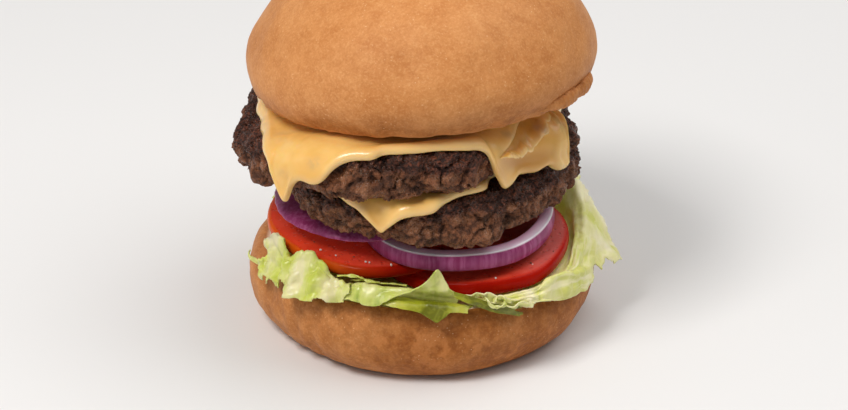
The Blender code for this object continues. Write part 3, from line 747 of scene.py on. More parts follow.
def make_patty(name, layer, seed, sags):
    patty = rounded_disc(name, layer, PATTY_VOXEL)
    lay(patty, layer)
    points = points_of(patty)
    warp = np.stack([waves(points, 0.006, seed + shift) for shift in (0.0, 5.0, 11.0)], axis=1)
    _, clod_crease, clod_tone = cells(points + warp * 0.0034, 0.0092, seed)
    _, strand_crease, strand_tone = cells(points + warp * 0.0026, 0.0034, seed + 3.0)
    grain_middle, _, _ = cells(points + warp * 0.0009, 0.0015, seed + 9.0)
    bottom, top = layer.bottom(points[:, 0], points[:, 1]), layer.top(points[:, 0], points[:, 1])
    height = (points[:, 2] - bottom) / np.maximum(top - bottom, 0.004)
    angle, radius = around(points, layer.centre)
    side = ease((radius - 0.034) / 0.007)
    patchy = unit(0.55 + 0.9 * waves(points, 0.012, seed + 21.0, 2))
    clod = bell(clod_crease, 0.075) * patchy
    strand = bell(strand_crease, 0.14) * (1.0 - 0.5 * patchy)
    broken, gritty = waves(points, 0.0048, seed + 30.0, 4), waves(points, 0.0021, seed + 50.0)
    rough = 0.35 + 0.65 * side
    depth = rough * (0.0012 * clod + 0.0004 * strand + 0.0008 * strand_tone + 0.0005 * grain_middle**2)
    depth += rough * (0.0008 * broken + 0.0005 * gritty - 0.0001)
    low = ease((0.5 - height) / 0.35) * side
    depth -= low * sum(out * bump(angle, at, wide) for at, wide, out in sags)
    sink(patty, depth * ease((radius - 0.012) / 0.012) + 0.0001)
    ragged = 0.22 * waves(points, 0.007, seed + 40.0)
    note(patty, sear=unit(ease((height - 0.52 + ragged) / 0.22) + ease((0.06 - height) / 0.1)))
    # Closeness to the cracks, which the material paints darker as painted shade.
    note(patty, crease=unit(0.95 * clod + 0.55 * strand + 0.5 * unit(broken)))
    note(patty, tone=0.35 * clod_tone + 0.65 * strand_tone)
    return patty


# %% Meat finish
def meat_finish():
    meat = Finish("seared_mince")
    sear, crease, tone = meat.noted("sear"), meat.noted("crease"), meat.noted("tone")
    grain, blotch, bead = meat.grain(0.0008, 4.0, 0.7), meat.grain(0.003, 4.0, 0.65), meat.spots(0.00095)
    brown = meat.coats((0.268, 0.094, 0.036),
                       (tone.between(0.2, 0.8), (0.156, 0.048, 0.016)),
                       (blotch.between(0.5, 0.62) * 0.85, (0.335, 0.142, 0.066)),
                       (blotch.between(0.48, 0.38) * 0.75, (0.055, 0.018, 0.008)),
                       (grain.between(0.42, 0.3) * 0.6, (0.04, 0.014, 0.007)))
    black = meat.coats((0.02, 0.006, 0.004),
                       (grain.between(0.44, 0.6), (0.185, 0.052, 0.025)),
                       (bead.between(0.34, 0.12) * 0.5, (0.16, 0.066, 0.048)))
    fat = meat.spots(0.003).between(0.2, 0.1) * (1 - sear) * meat.grain(0.008).between(0.5, 0.64)
    greasy = meat.grain(0.003).between(0.44, 0.58)
    # The cracks are darkened with painted shade.
    meat.set(Base_Color=meat.coats(brown, (sear * 0.92, black), (crease * 0.75, (0.02, 0.008, 0.005)),
                                   (fat * 0.45, (0.42, 0.29, 0.2))),
             Normal=meat.relief((grain, 0.00075), (1 - bead, 0.0005), (meat.grain(0.00045, 2.0), 0.0001)),
             Roughness=0.58 - 0.37 * greasy, Specular_IOR_Level=0.34)
    return meat.material


meat_material = meat_finish()
finish_piece(make_patty("lower_patty", LOWER_PATTY, 1.3, LOWER_SAGS), meat_material, "meat", "patty_lower")
finish_piece(make_patty("upper_patty", UPPER_PATTY, 4.9, UPPER_SAGS), meat_material, "meat", "patty_upper")

# %% [markdown]
# ## Melted cheese
# A processed slice softens, sags over the patty's edge and runs to points at its corners. Cloth would keep
# its length and fold too crisply, so the sheet is laid by rule instead: each point of a square grid has an
# angle and a distance, and the distance is walked out over the patty's top, round its rim and straight
# down. The table of reaches says how far the slice has run at each angle. Its faces close in a rounded
# edge, because melted cheese has no sharp one.

# %% Draped sheets
CHEESE_GAP = 0.0003
CHEESE_LIFT = 0.0012
CHEESE_THICKNESS = 0.0019
CHEESE_CELLS = 152
CHEESE_FLAT_ROWS = 0.25
CHEESE_FLAT_REACH = 0.68
CHEESE_ROUNDING = 0.0014


def draped(layer, angle, distance, above):
    """Points so far out along a sheet that lies on the layer and hangs over its rim, and above its face."""
    bend = layer.rounding + CHEESE_LIFT
    level = layer.rim_radius(angle) - layer.rounding
    beyond = np.maximum(0.0, distance - level)
    lean = np.minimum(beyond / bend, math.pi / 2.0)
    flat = np.minimum(distance, level)
    x, y = spot(angle, flat + (bend + above) * np.sin(lean), layer.centre)
    top = layer.top(*spot(angle, flat + bend * np.sin(lean), layer.centre))
    drop = bend * (1.0 - np.cos(lean)) + beyond - lean * bend
    return points_at(x, y, top + CHEESE_GAP - drop + above * np.cos(lean))


def spread(share, level, reach):
    """Distance out at this share of the grid, with more rows where the sheet bends over the rim."""
    inner = np.minimum(level, CHEESE_FLAT_REACH * reach)
    near = share / CHEESE_FLAT_ROWS * inner
    far = inner + (share - CHEESE_FLAT_ROWS) / (1.0 - CHEESE_FLAT_ROWS) * (reach - inner)
    return np.where(share <= CHEESE_FLAT_ROWS, near, far)


def blots(table, angle, distance):
    """Soft blots on a sheet: angle, millimetres out, degrees wide, millimetres deep, and strength."""
    return sum(share * bump(angle, at, wide) * bell(distance / MM - out, deep)
               for at, out, wide, deep, share in table)


# %% A melted slice
def make_cheese(name, layer, reaches, ripple, stains, ambers):
    """A melted slice, with its reach all round, its own small waves, its grey blots and its painted shade."""
    cheese, _, _ = grid_piece(name, CHEESE_CELLS, CHEESE_CELLS)
    edit(cheese)
    bpy.ops.mesh.extrude_region_move(TRANSFORM_OT_translate={"value": (0.0, 0.0, 1.0)})
    bpy.ops.object.mode_set(mode="OBJECT")
    grid = points_of(cheese)
    share = np.maximum(abs(grid[:, 0]), abs(grid[:, 1]))
    angle, _ = around(grid)
    keys, far = np.array(reaches, float).T
    wrapped = np.concatenate([keys - 360.0, keys, keys + 360.0])
    uneven = 0.0006 * waves(points_at(*spot(angle, 1.0)), 0.16, 3.1, 2)
    reach = through(wrapped, np.tile(far * MM, 3), angle) + uneven
    distance = spread(share, layer.rim_radius(angle) - layer.rounding, reach)
    to_edge = reach - distance
    rounded = np.sqrt(unit(1.0 - (1.0 - unit(to_edge / CHEESE_ROUNDING)) ** 2))
    height = ripple(angle, distance)
    upper = CHEESE_THICKNESS * (0.25 + 0.75 * rounded) + 0.0005 * bell(to_edge - 0.0022, 0.0016)
    above = np.where(grid[:, 2] > 0.5, upper, CHEESE_THICKNESS * 0.15 * (1.0 - rounded))
    move_points(cheese, draped(layer, angle, distance, above + height))
    weld(cheese)
    # Painted highlight: paler where the sheet is raised, on the ridge over the strip and on the pleats. Near
    # the rim it is paler because the thin cheese is paler.
    pale = 0.8 * unit((height - 0.0004) / 0.0008)
    note(cheese, edge=unit(ease((0.0035 - to_edge) / 0.003) + pale), stain=blots(stains, angle, distance))
    # Painted shade, kept off the raised ridges.
    note(cheese, amber=unit(blots(ambers, angle, distance) * (1.0 - pale)))
    apply(cheese, "SMOOTH", factor=0.5, iterations=3)
    return cheese


# %% Cheese tables
# How far each slice has run: angle, and millimetres out.
UPPER_REACHES = [
    (0, 45.5), (15, 47), (30, 49), (44, 56), (60, 51), (90, 46), (120, 50), (134, 56), (150, 49), (165, 44),
    (180, 42.9), (192, 42.9), (200, 44), (208, 45.6), (216, 48.9), (221, 51.2), (224.5, 54), (227.5, 60.6),
    (230, 63.4), (232.5, 58.6), (235.5, 56.6), (240, 57.3), (244, 56.2), (248, 52.3), (252, 50.4),
    (256.5, 49.6), (260, 49.2), (262.5, 47.6), (268, 46.7), (276, 46.2), (284, 46.8), (292, 47.6),
    (298.5, 47.6), (300.5, 50.4), (302, 53.2), (303.5, 54.4), (305.5, 56.4), (307, 57.4), (309.5, 56.8),
    (312, 55.6), (314, 54), (316, 53), (320, 53.2), (325, 53.9), (328, 53.7), (331, 54.4), (333, 56.6),
    (335, 57.4), (336.8, 57.4), (338, 53), (339, 48.8), (341, 47.4), (343, 46.4), (350, 45.4)]
LOWER_REACHES = [
    (0, 40), (22, 42), (45, 47), (66, 43), (90, 41), (112, 43), (135, 47), (160, 43), (180, 40), (205, 40.5),
    (222, 43.6), (228, 44.5), (232, 45.3), (240, 46.5), (245, 47.6), (249, 49.6), (252, 52.2), (254, 53.4),
    (256, 52.3), (260, 50.1), (264, 48.8), (268, 47.9), (272, 46.9), (276, 44.5), (284, 42.6), (291, 42.2),
    (294, 41.4), (296.5, 38.6), (299, 36.4), (304, 35), (312, 34.4), (322, 34), (334, 35.5), (345, 38)]
# The folded-over strip of the upper slice: its free edge, and where it comes out from under the main sheet.
STRIP_EDGE = [(300, 50.2), (304, 48.4), (308, 46.9), (313, 46.6), (316.5, 45.4), (319, 46), (321.5, 45.2),
              (324.5, 44.6), (329.5, 44.6), (331.5, 43.4), (336, 43), (342, 41.5)]
STRIP_ROOT = [(298, 49.8), (302, 48), (306.5, 45.8), (312.5, 42.8), (317, 40.8), (320, 39.6), (326, 38.5),
              (336, 37.5), (344, 37)]
STRIP_START, STRIP_END = 301.4, 341.0
ROOT_RISE = 0.0011
# The two upright pleats at the right: millimetres out, and angle.
PLEATS = [[(43.5, 340.5), (46, 337), (47.4, 335), (49.2, 332.8), (51.6, 332.4), (54.6, 333.5),
           (57.5, 334.2)],
          [(45, 343.5), (47.4, 338.5), (49, 336.4), (51, 335.4), (54, 336), (56.4, 337.4)]]
PLEAT_RISE = 0.0014
# Blots, grey where meat juice shows through, and amber painted shade: on the upper slice under the crown's
# right side, and on the lower slice under the upper patty.
UPPER_STAINS = [(241, 51.3, 2.2, 1.2, 0.55), (230.5, 54.5, 2, 1, 0.35), (203, 43.5, 5, 1.5, 0.35),
                (222, 46, 4, 2, 0.2), (304, 46.5, 2.5, 1.4, 0.28), (312, 42, 4.5, 1.3, 0.45)]
UPPER_PAINTED_SHADE = [(315, 49, 9, 3, 0.9), (326, 50, 8, 4, 0.85), (303, 52.5, 3.5, 2, 0.45),
                (341, 45, 4, 2.5, 0.5)]
LOWER_STAINS = [(247, 47, 2.5, 1.2, 0.35), (284, 41, 4, 1.2, 0.3)]
LOWER_PAINTED_SHADE = [(276, 40, 16, 1.6, 0.28)]


# %% Ripples of the slices
def line_at(table, values):
    """The second column of a table at these values of the first, held at its ends."""
    keys, column = np.array(table, float).T
    return through(keys, column, np.clip(values, keys[0], keys[-1]))


def unrolled(angle, out):
    """Points of the hanging sheet laid flat, for waves that run along it."""
    return points_at(np.radians(angle) * 0.047, out)


def sags(angle, distance, depth, folds, slant):
    """Soft waves of a slice where it hangs."""
    return depth * swing(angle, folds, distance * slant) * ease((distance - 0.03) / 0.01)


def upper_ripple(angle, distance):
    """Soft sags at the left, the raised end of the sheet over the folded strip, and two upright pleats."""
    crumple = waves(unrolled(angle, distance), 0.0042, 7.7)
    beyond = distance - line_at(STRIP_ROOT, angle) * MM - 0.0003 * crumple
    raised = np.where(beyond < 0.0, bell(beyond, 0.0024), 1.0 - ease(beyond / 0.0017))
    near = ease((angle - 301.0) / 4.0) * (1.0 - ease((angle - 324.0) / 6.0))
    pleats = sum(bell(angle - line_at(pleat, distance / MM), 1.25) for pleat in PLEATS)
    rises = ROOT_RISE * raised * near + PLEAT_RISE * pleats * ease((distance - 0.0425) / 0.003)
    return sags(angle, distance, 0.0004, 7.0, 240.0) + rises


def lower_ripple(angle, distance):
    return sags(angle, distance, 0.0003, 9.0, 300.0)


# %% Folded-over strip
def make_turnover(name, layer):
    """The folded-over strip: a flattened tube along the upper slice, with a crumpled free edge."""
    strip, angle, round_tube = tube_piece(name, 200, 32, STRIP_START, STRIP_END)
    free_edge, root = line_at(STRIP_EDGE, angle) * MM, line_at(STRIP_ROOT, angle) * MM
    across = np.cos(round_tube)
    line = unrolled(angle, across * 0.003)
    ragged, kink = waves(line, 0.0034, 5.5), waves(line, 0.006, 2.8, 2)
    free = ease((across + 0.2) / 1.2)
    taper = ease((angle - STRIP_START) / 6.0) * (1.0 - ease((angle - 334.0) / 7.0))
    middle, half = (free_edge + root) / 2.0, (free_edge - root) / 2.0 * (0.1 + 0.9 * taper)
    distance = middle + half * across + 0.0009 * ragged * free * taper
    base = -0.0002 + 0.0025 * ease((across - 0.1) / 0.9) + (0.0008 * kink + 0.0003 * ragged) * free
    swell = 0.0006 * (0.2 + 0.8 * taper) * np.sin(round_tube)
    above = CHEESE_THICKNESS + base * taper - 0.0012 * (1.0 - taper) + swell
    move_points(strip, draped(layer, angle, distance, above))
    # Paler along the free edge: partly the thin edge's own paler cheese, partly painted highlight on the
    # raised, crumpled edge.
    note(strip, edge=unit(ease((across - 0.5) / 0.35) + 0.3 * ragged * free))
    # Painted shade in the strip's middle, up to its raised free edge.
    note(strip, amber=unit(0.95 - ease((across - 0.15) / 0.6) + 0.3 * kink) * taper)
    note(strip, stain=0.5 * bump(angle, 327.0, 2.2) * ease(across / 0.4))
    weld(strip)
    sink(strip, 0.0003 * waves(points_of(strip), 0.0026, 8.8))
    return strip


# %% Cheese finish
def cheese_finish():
    cheese = Finish("melted_cheese")
    cloud = cheese.grain(0.01)
    stain = cheese.noted("stain") * cheese.grain(0.003).between(0.25, 0.6)
    cheese.set(Base_Color=cheese.coats((0.84, 0.475, 0.12), (cloud.between(0.35, 0.7), (0.9, 0.56, 0.18)),
                                       # Pale edge coat: thin cheese's own paler edge, with painted highlight
                                       # on raised ridges and the strip's edge.
                                       (cheese.noted("edge") * 0.45, (0.88, 0.64, 0.32)),
                                       # Amber coat: painted shade.
                                       (cheese.noted("amber"), (0.6, 0.285, 0.05)),
                                       (stain, (0.4, 0.28, 0.17))),
               Normal=cheese.relief((cheese.grain(0.004, 2.0), 0.00012), (cheese.grain(0.0011, 2.0), 2e-05)),
               Roughness=0.15 + 0.13 * cloud, Specular_IOR_Level=0.45)
    cheese.glow(0.3, 0.0022, (1.0, 0.55, 0.18))
    return cheese.material


cheese_material = cheese_finish()
LOWER_SLICE = (LOWER_PATTY, LOWER_REACHES, lower_ripple, LOWER_STAINS, LOWER_PAINTED_SHADE)
UPPER_SLICE = (UPPER_PATTY, UPPER_REACHES, upper_ripple, UPPER_STAINS, UPPER_PAINTED_SHADE)
finish_piece(make_cheese("lower_cheese", *LOWER_SLICE), cheese_material, "cheese", "cheese_lower")
finish_piece(make_cheese("upper_cheese", *UPPER_SLICE), cheese_material, "cheese", "cheese_upper")
finish_piece(make_turnover("cheese_turnover", UPPER_PATTY), cheese_material, "cheese")

# %% [markdown]
# ## Tomato
# A slice is a disc of wet flesh inside a thin, tight skin. The disc is bevelled a little and bulges at its
# side. How far a point lies in from the skin is stored, so one material can turn from glossy red skin to
# the pinker, pitted flesh of the cut faces.

# %% Tomato slices
TOMATO_VOXEL = 0.00062
TOMATO_BULGE = 0.0005


def make_slice(name, layer, seed):
    """A slice with a slightly domed side, laid on its layer."""
    disc = rounded_disc(name, layer, TOMATO_VOXEL)
    points = points_of(disc)
    _, radius = around(points)
    belly = np.sin(unit(points[:, 2] / layer.thickness) * math.pi)
    stretch = 1.0 + TOMATO_BULGE * belly * ease((radius / layer.radius - 0.9) / 0.1) / layer.radius
    face = unit(abs(points[:, 2] / layer.thickness - 0.5) * 2.0)
    points[:, :2] *= stretch[:, None]
    move_points(disc, points)
    lay(disc, layer)
    sink(disc, 0.0003 * (0.5 + 0.5 * waves(points_of(disc), 0.006, seed)) * ease((face - 0.8) / 0.2))
    note(disc, from_skin=unit((layer.radius - radius) / 0.01), cut_face=ease((face - 0.8) / 0.18))
    return disc


# %% Tomato finish
def tomato_finish():
    tomato = Finish("wet_tomato")
    depth, face = tomato.noted("from_skin"), tomato.noted("cut_face")
    x = tomato.node("ShaderNodeSeparateXYZ", None, {0: tomato.node("ShaderNodeTexCoord", output="Object")})
    warm = x.between(-0.004, -0.034)
    skin = tomato.coats((0.32, 0.004, 0.001), (tomato.grain(0.007), (0.42, 0.009, 0.001)),
                        (warm * 0.9, (0.37, 0.058, 0.003)), (x.between(-0.018, -0.032), (0.62, 0.085, 0.004)))
    flesh = tomato.coats((0.62, 0.028, 0.014), (tomato.grain(0.0022), (0.82, 0.1, 0.052)),
                         (x.between(0.024, 0.038) * 0.8, (0.52, 0.13, 0.115)),
                         (warm * 0.6, (0.66, 0.046, 0.008)),
                         (depth.between(0.15, 0.02) * 0.8, (0.55, 0.022, 0.006)))
    pits = tomato.spots(0.0018).between(0.34, 0.12)
    tomato.set(Base_Color=tomato.coats(skin, (face, flesh)),
               Normal=tomato.relief((1 - pits * face, 0.00024), (tomato.grain(0.0012, 2.0), 0.00003)),
               Roughness=0.26 + face * 0.1, Specular_IOR_Level=0.07)
    tomato.glow(0.2, 0.0015, (1.0, 0.2, 0.1))
    return tomato.material


tomato_material = tomato_finish()
finish_piece(make_slice("tomato_under", TOMATO_RIGHT, 2.4), tomato_material, "tomato", "tomato_right")
finish_piece(make_slice("tomato_over", TOMATO_LEFT, 6.1), tomato_material, "tomato", "tomato_left")

# %% [markdown]
# ## Red onion
# The ring is one layer of an onion: purple skin outside, a white and lilac cut face on top, and a paler
# wall inside. The slice above it is the onion's end, so its purple skin slopes in to the top. Fine upright
# fibres run in the skin, which are noise squeezed flat along z, so that it can only vary round the ring.

# %% Onion ring and slice
ONION_WALL = 0.004
ONION_SLOPE = 0.009
ONION_EDGE = 0.0004
ONION_TOP_RISE = 60.0


def spun_section(name, layer):
    """The section of one onion layer, spun into a ring on z = 0."""
    inner, outer, top = layer.radius - ONION_WALL, layer.radius, layer.thickness
    bpy.ops.mesh.primitive_plane_add(size=1.0)
    ring = added(name)
    corners = [(inner - 0.0003, 0.0), (outer - 0.0006, 0.0), (inner, top), (outer - 0.0008, top)]
    move_points(ring, [(radius, 0.0, height) for radius, height in corners])
    edit(ring, "VERT")
    bpy.ops.mesh.subdivide(number_cuts=9)
    shape = bmesh.from_edit_mesh(ring.data)
    bmesh.ops.delete(shape, geom=[vert for vert in shape.verts if not vert.is_boundary], context="VERTS")
    bmesh.update_edit_mesh(ring.data)
    bpy.ops.mesh.select_all(action="SELECT")
    bpy.ops.mesh.spin(steps=240, angle=math.tau, center=(0.0, 0.0, 0.0), axis=(0.0, 0.0, 1.0))
    bpy.ops.object.mode_set(mode="OBJECT")
    weld(ring, 0.00001)
    return ring


def make_ring(name, layer):
    ring = spun_section(name, layer)
    points = points_of(ring)
    angle, radius = around(points)
    share = points[:, 2] / layer.thickness
    across = (radius - (layer.radius - ONION_WALL)) / ONION_WALL
    swell = 0.0006 * np.sin(unit(share) * math.pi) * ease(across)
    wobble = 0.0005 * swing(angle, 3.0, 1.0) + 0.0003 * swing(angle, 5.0)
    x, y = spot(angle, radius + swell + wobble, layer.centre)
    move_points(ring, points_at(x, y, layer.bottom(x, y) + points[:, 2]))
    note(ring, across=unit(across), cut_face=ease((share - 0.93) / 0.05))
    return ring


# %% Onion end
def make_onion_end(name, layer):
    """The domed end slice, from a ball: its skin curves in from the rim to a small flat top."""
    end, angle, rise = ball_piece(name, 150, 64)
    slope = quarter(rise, ONION_TOP_RISE)
    skin = layer.radius - ONION_SLOPE * (1.0 - np.cos(slope))
    flat_top = (layer.radius - ONION_SLOPE) * unit((90.0 - rise) / (90.0 - ONION_TOP_RISE))
    under = (layer.radius - ONION_EDGE) * unit((90.0 + rise) / 88.0)
    radius = np.where(rise < 0.0, under, np.where(rise < ONION_TOP_RISE, skin, flat_top))
    height = np.where(rise < 0.0, 0.0, ONION_EDGE + (layer.thickness - ONION_EDGE) * np.sin(slope))
    ripple = 0.00012 * swing(angle, 31.0) + 0.0002 * swing(angle, 7.0, 1.0)
    x, y = spot(angle, radius + ripple * (radius > 0.01), layer.centre)
    move_points(end, points_at(x, y, layer.bottom(x, y) + height))
    note(end, across=np.full(len(rise), 0.8), cut_face=(rise < -1.0) * 1.0)
    return end


# %% Onion finish
def onion_finish():
    onion = Finish("red_onion")
    across, face = onion.noted("across"), onion.noted("cut_face")
    fibre = onion.grain(0.0011, at=onion.place((1.0, 1.0, 0.04)))
    broad = onion.grain(0.006, 2.0, at=onion.place((1.0, 1.0, 0.15)))
    purple = onion.coats((0.26, 0.028, 0.108), (fibre.between(0.35, 0.72), (0.42, 0.105, 0.245)),
                         (broad.between(0.35, 0.65) * 0.5, (0.28, 0.05, 0.15)),
                         (across.between(0.9, 0.99) * 0.8, (0.66, 0.16, 0.46)))
    wall = onion.coats((0.62, 0.44, 0.54), (fibre.between(0.3, 0.7), (0.8, 0.66, 0.72)),
                       (across.between(0.1, 0.6), purple))
    cut = onion.ramp(across, (0.0, (0.95, 0.42, 0.62)), (0.35, (1.0, 0.62, 0.8)), (0.66, (1.0, 0.76, 0.88)),
                     (0.84, (1.0, 1.0, 1.0)), (1.0, (0.66, 0.22, 0.44)))
    onion.set(Base_Color=onion.coats(wall, (face, cut)),
              Normal=onion.relief((fibre, 0.00008), (onion.grain(0.0016, 2.0), 0.00003)),
              Roughness=0.34 + face * 0.26, Specular_IOR_Level=0.18)
    onion.glow(0.25, 0.002, (1.0, 0.5, 0.8))
    return onion.material


onion_material = onion_finish()
finish_piece(make_ring("onion_hoop", ONION_RING), onion_material, "onion", "onion_ring")
finish_piece(make_onion_end("onion_end", ONION_SLICE), onion_material, "onion", "onion_slice")

# %% [markdown]
# ## Lettuce
# Iceberg leaves are thin, wet and crumpled: a pale thick rib where the leaf was joined, lime green ruffles
# at the margin and a net of pale veins between. A leaf is described like a fan, by ribs that run out from
# the middle of the burger. Each rib has the height of the leaf at a few radii, and a smooth curve runs
# through them, both along the rib and across the fan. Ruffles that grow towards the margin, crumples and a
# torn edge are added on top.

# %% Leaf tables
UNDER_TOMATO = [(11, 21.9), (28, 22.3)]


def ribs_from(start, *rows):
    """Ribs with the same first (radius, height) points; a row is an angle and then more radii and heights."""
    return [(row[0], [*start, *zip(row[1::2], row[2::2])]) for row in rows]


# All lengths in these tables are millimetres.
LEAF_RIBS = {
    "leaf_left": ribs_from(
        UNDER_TOMATO,
        (196, 44.8, 25, 47.5, 26.5, 50, 25.5, 51.6, 24),
        (200, 46.4, 26.5, 48.6, 29, 50, 27, 51.6, 22.5),
        (204, 47, 27, 48.8, 32, 50.2, 28, 52.9, 21),
        (209, 47, 27.5, 47.7, 36.2, 49.2, 30, 52.2, 20.8),
        (213, 46.8, 27.5, 47.5, 36, 49.6, 30, 51.8, 21.3),
        (217.5, 46.2, 27, 47.4, 32.6, 50.4, 30.5, 52.2, 21.8),
        (223, 45.8, 27, 47, 34.2, 50.6, 30.5, 52.6, 22.2),
        (227, 45.4, 27, 46.4, 35.6, 50, 29.5, 52.8, 22.8),
        (231, 44.8, 27, 46, 35, 50.2, 30.5, 53, 23.6),
        (236, 44, 26.8, 46.1, 32, 49.8, 29.5, 52.6, 25),
        (242, 42.9, 26, 46.8, 29.8, 49.8, 29.5, 52, 26.2),
        (246, 41.2, 25.8, 47.3, 30.2, 50, 29.8, 51.9, 26.8)),
    "leaf_front": ribs_from(
        UNDER_TOMATO,
        (243.5, 40.5, 24.5, 45.4, 29, 48, 28.6, 50.2, 26.2),
        (248, 39, 24, 46.6, 31, 49.6, 30.5, 51.4, 27.2),
        (255, 38, 22.9, 46.4, 31.2, 49.6, 30.8, 51.8, 27),
        (262, 38, 22.7, 46.4, 31.2, 49, 31.4, 50.6, 30.6),
        (268, 38.4, 22.7, 46.6, 30.4, 48.3, 31.8, 49.2, 32.6),
        (271.6, 39, 22.8, 46.5, 29.9, 47.9, 32.2, 48.4, 34.6),
        (275.3, 39.6, 22.9, 46.4, 29.4, 47.5, 33, 47.6, 38.4),
        (277.6, 40.1, 23, 46.3, 28.7, 47.5, 31, 47.9, 34.4),
        (280, 40.8, 23.1, 46.2, 28.1, 47.6, 29.4, 48.2, 30.8),
        (283, 41.8, 23.4, 46, 27.4, 47.6, 28.4, 48.6, 29)),
    "leaf_right": ribs_from(
        UNDER_TOMATO,
        (288, 43.8, 23.7, 46.2, 26.4, 47.8, 26.8, 49, 26.4),
        (300, 45.8, 24.2, 48, 26.2, 49.8, 26, 51.3, 23.6),
        (310, 47.8, 24.7, 49.2, 25.9, 50.6, 25.4, 51.9, 22.9),
        (320, 47, 24.6, 48.8, 25, 50.4, 26.8, 52.6, 19.6),
        (330, 45.6, 25, 49.2, 24.8, 52, 24, 53.5, 18),
        (338, 44.6, 25.2, 47.6, 27, 52, 22.2, 53.6, 17.4),
        (350, 41.8, 25.2, 46.2, 30, 51, 27.2, 57, 17.8),
        (358, 40.8, 25.4, 45.6, 32.2, 50.8, 29.7, 59.2, 15.4),
        (368, 39, 26, 45, 34.7, 50.4, 31.7, 58, 18.6),
        (380, 36.6, 26.4, 44.5, 36.2, 49, 34.2, 54.5, 24.5),
        (391, 36, 26.4, 44, 36.2, 47.6, 34.6, 52, 28),
        (398, 35.6, 26.2, 43.2, 34.8, 46.8, 33, 51, 27)),
}
TORN_PIECES = {
    "leaf_fold": ribs_from(
        [], (254, 46.8, 28.6, 49.2, 29.2, 50.6, 28), (262, 46.8, 28.4, 49.5, 28.6, 51, 27),
        (269, 46.8, 27.6, 49.8, 27.8, 51.4, 26.2), (272.4, 46.7, 27.2, 49.8, 27.5, 52.1, 24.2),
        (274.6, 46.6, 26.9, 49.8, 27.3, 52.5, 23), (276.4, 46.6, 26.7, 49.7, 27.2, 52.1, 23.9),
        (279, 46.6, 26.4, 49.6, 27.2, 51.2, 25.6), (287, 47.8, 25, 49.4, 25.8, 51.2, 24.2)),
    "leaf_blade": ribs_from(
        [], (280.5, 48.7, 31, 48.9, 30.2, 49.2, 29.4), (286.4, 49.4, 29.2, 49.8, 28, 50.1, 26.8),
        (292.8, 50.6, 26.6, 51, 25.3, 51.2, 24), (297.6, 51.8, 25.2, 52.1, 24, 52.3, 22.6),
        (302.6, 52.2, 24.4, 52.6, 22.8, 52.8, 20.8)),
}


# %% Leaves at the back
def back_leaf(angles, under, crest, margin):
    """Ribs of a leaf at the back, which swells and sinks along its length; each pair is (first, last)."""
    rows = []
    for step, angle in enumerate(angles):
        share = step / (len(angles) - 1)
        swell = 0.5 + 0.5 * math.sin(step * 2.1 + angles[0])
        inner, top, edge = [[a + (b - a) * share for a, b in zip(*pair)] for pair in (under, crest, margin)]
        rows.append((angle, *inner, top[0], top[1] - 3.5 * swell, top[0] + 3.6, top[1] - 2.5 - 2.0 * swell,
                     edge[0] + 1.5 * swell, edge[1] + 3.0 * swell))
    return ribs_from(UNDER_TOMATO, *rows)


BACK_LEAVES = {
    "leaf_back_right": back_leaf(range(36, 112, 12), ((36, 26), (36, 25.5)),
                                 ((44, 37.5), (43.5, 37)), ((51.5, 25.5), (52, 24))),
    "leaf_back_left": back_leaf(range(111, 162, 10), ((33, 25.2), (42, 25.8)),
                                ((43, 37), (41, 28.5)), ((51.5, 24.5), (46, 23.2))),
}


# %% Leaf mesh
# Length of one degree at the leaves' margin, and a leaf's wall.
DEGREE = 0.00087
LEAF_WALL = 0.0004


def along(points, station):
    """Smooth places along each point's own rib; points holds one rib for each point of the leaf."""
    last = points.shape[1] - 1
    here = np.clip(station.astype(int), 0, last - 1)
    row = np.arange(len(station))
    p0, p1 = points[row, np.maximum(here - 1, 0)], points[row, here]
    p2, p3 = points[row, here + 1], points[row, np.minimum(here + 2, last)]
    t = (station - here)[:, None]
    bend, twist = 2 * p0 - 5 * p1 + 4 * p2 - p3, 3 * p1 - p0 - 3 * p2 + p3
    return 0.5 * (2 * p1 + (p2 - p0) * t + bend * t**2 + twist * t**3)


def remove_points(leaf, cut):
    """Takes the chosen points out of a sheet, with the faces round them."""
    shape = edit(leaf, "VERT", "DESELECT")
    for vert, gone in zip(shape.verts, cut):
        vert.select = bool(gone)
    bmesh.update_edit_mesh(leaf.data)
    bpy.ops.mesh.delete(type="VERT")
    bpy.ops.object.mode_set(mode="OBJECT")


def ruffles(flat, line, out, shape, seed):
    """How far each point stands off the smooth leaf, and the part of it that comes from pleats."""
    phase = line[:, 0] / 0.006 + 1.4 * waves(line, 0.011, seed + 4.0, 2)
    pleat = 1.0 - 2.0 * abs(np.sin(phase * math.pi / 2.0 + 0.8 * out))
    soft = 0.7 - 2.2 * abs(waves(flat, 0.011, seed + 8.0, 2))
    crinkle = 0.6 - 2.0 * abs(waves(flat, 0.0048, seed + 12.0, 2))
    lengthwise = np.sin(out * 46.0 + 2.0 * waves(line, 0.014, seed + 15.0, 2))
    free = ease((out - 0.42) / 0.4)
    folds = shape["fold"] * pleat * ease((out - 0.5) / 0.5)
    swell = free * (folds + shape["crumple"] * (soft + 0.45 * crinkle))
    return swell + shape["ridge"] * lengthwise * ease((out - 0.35) / 0.15), pleat * free


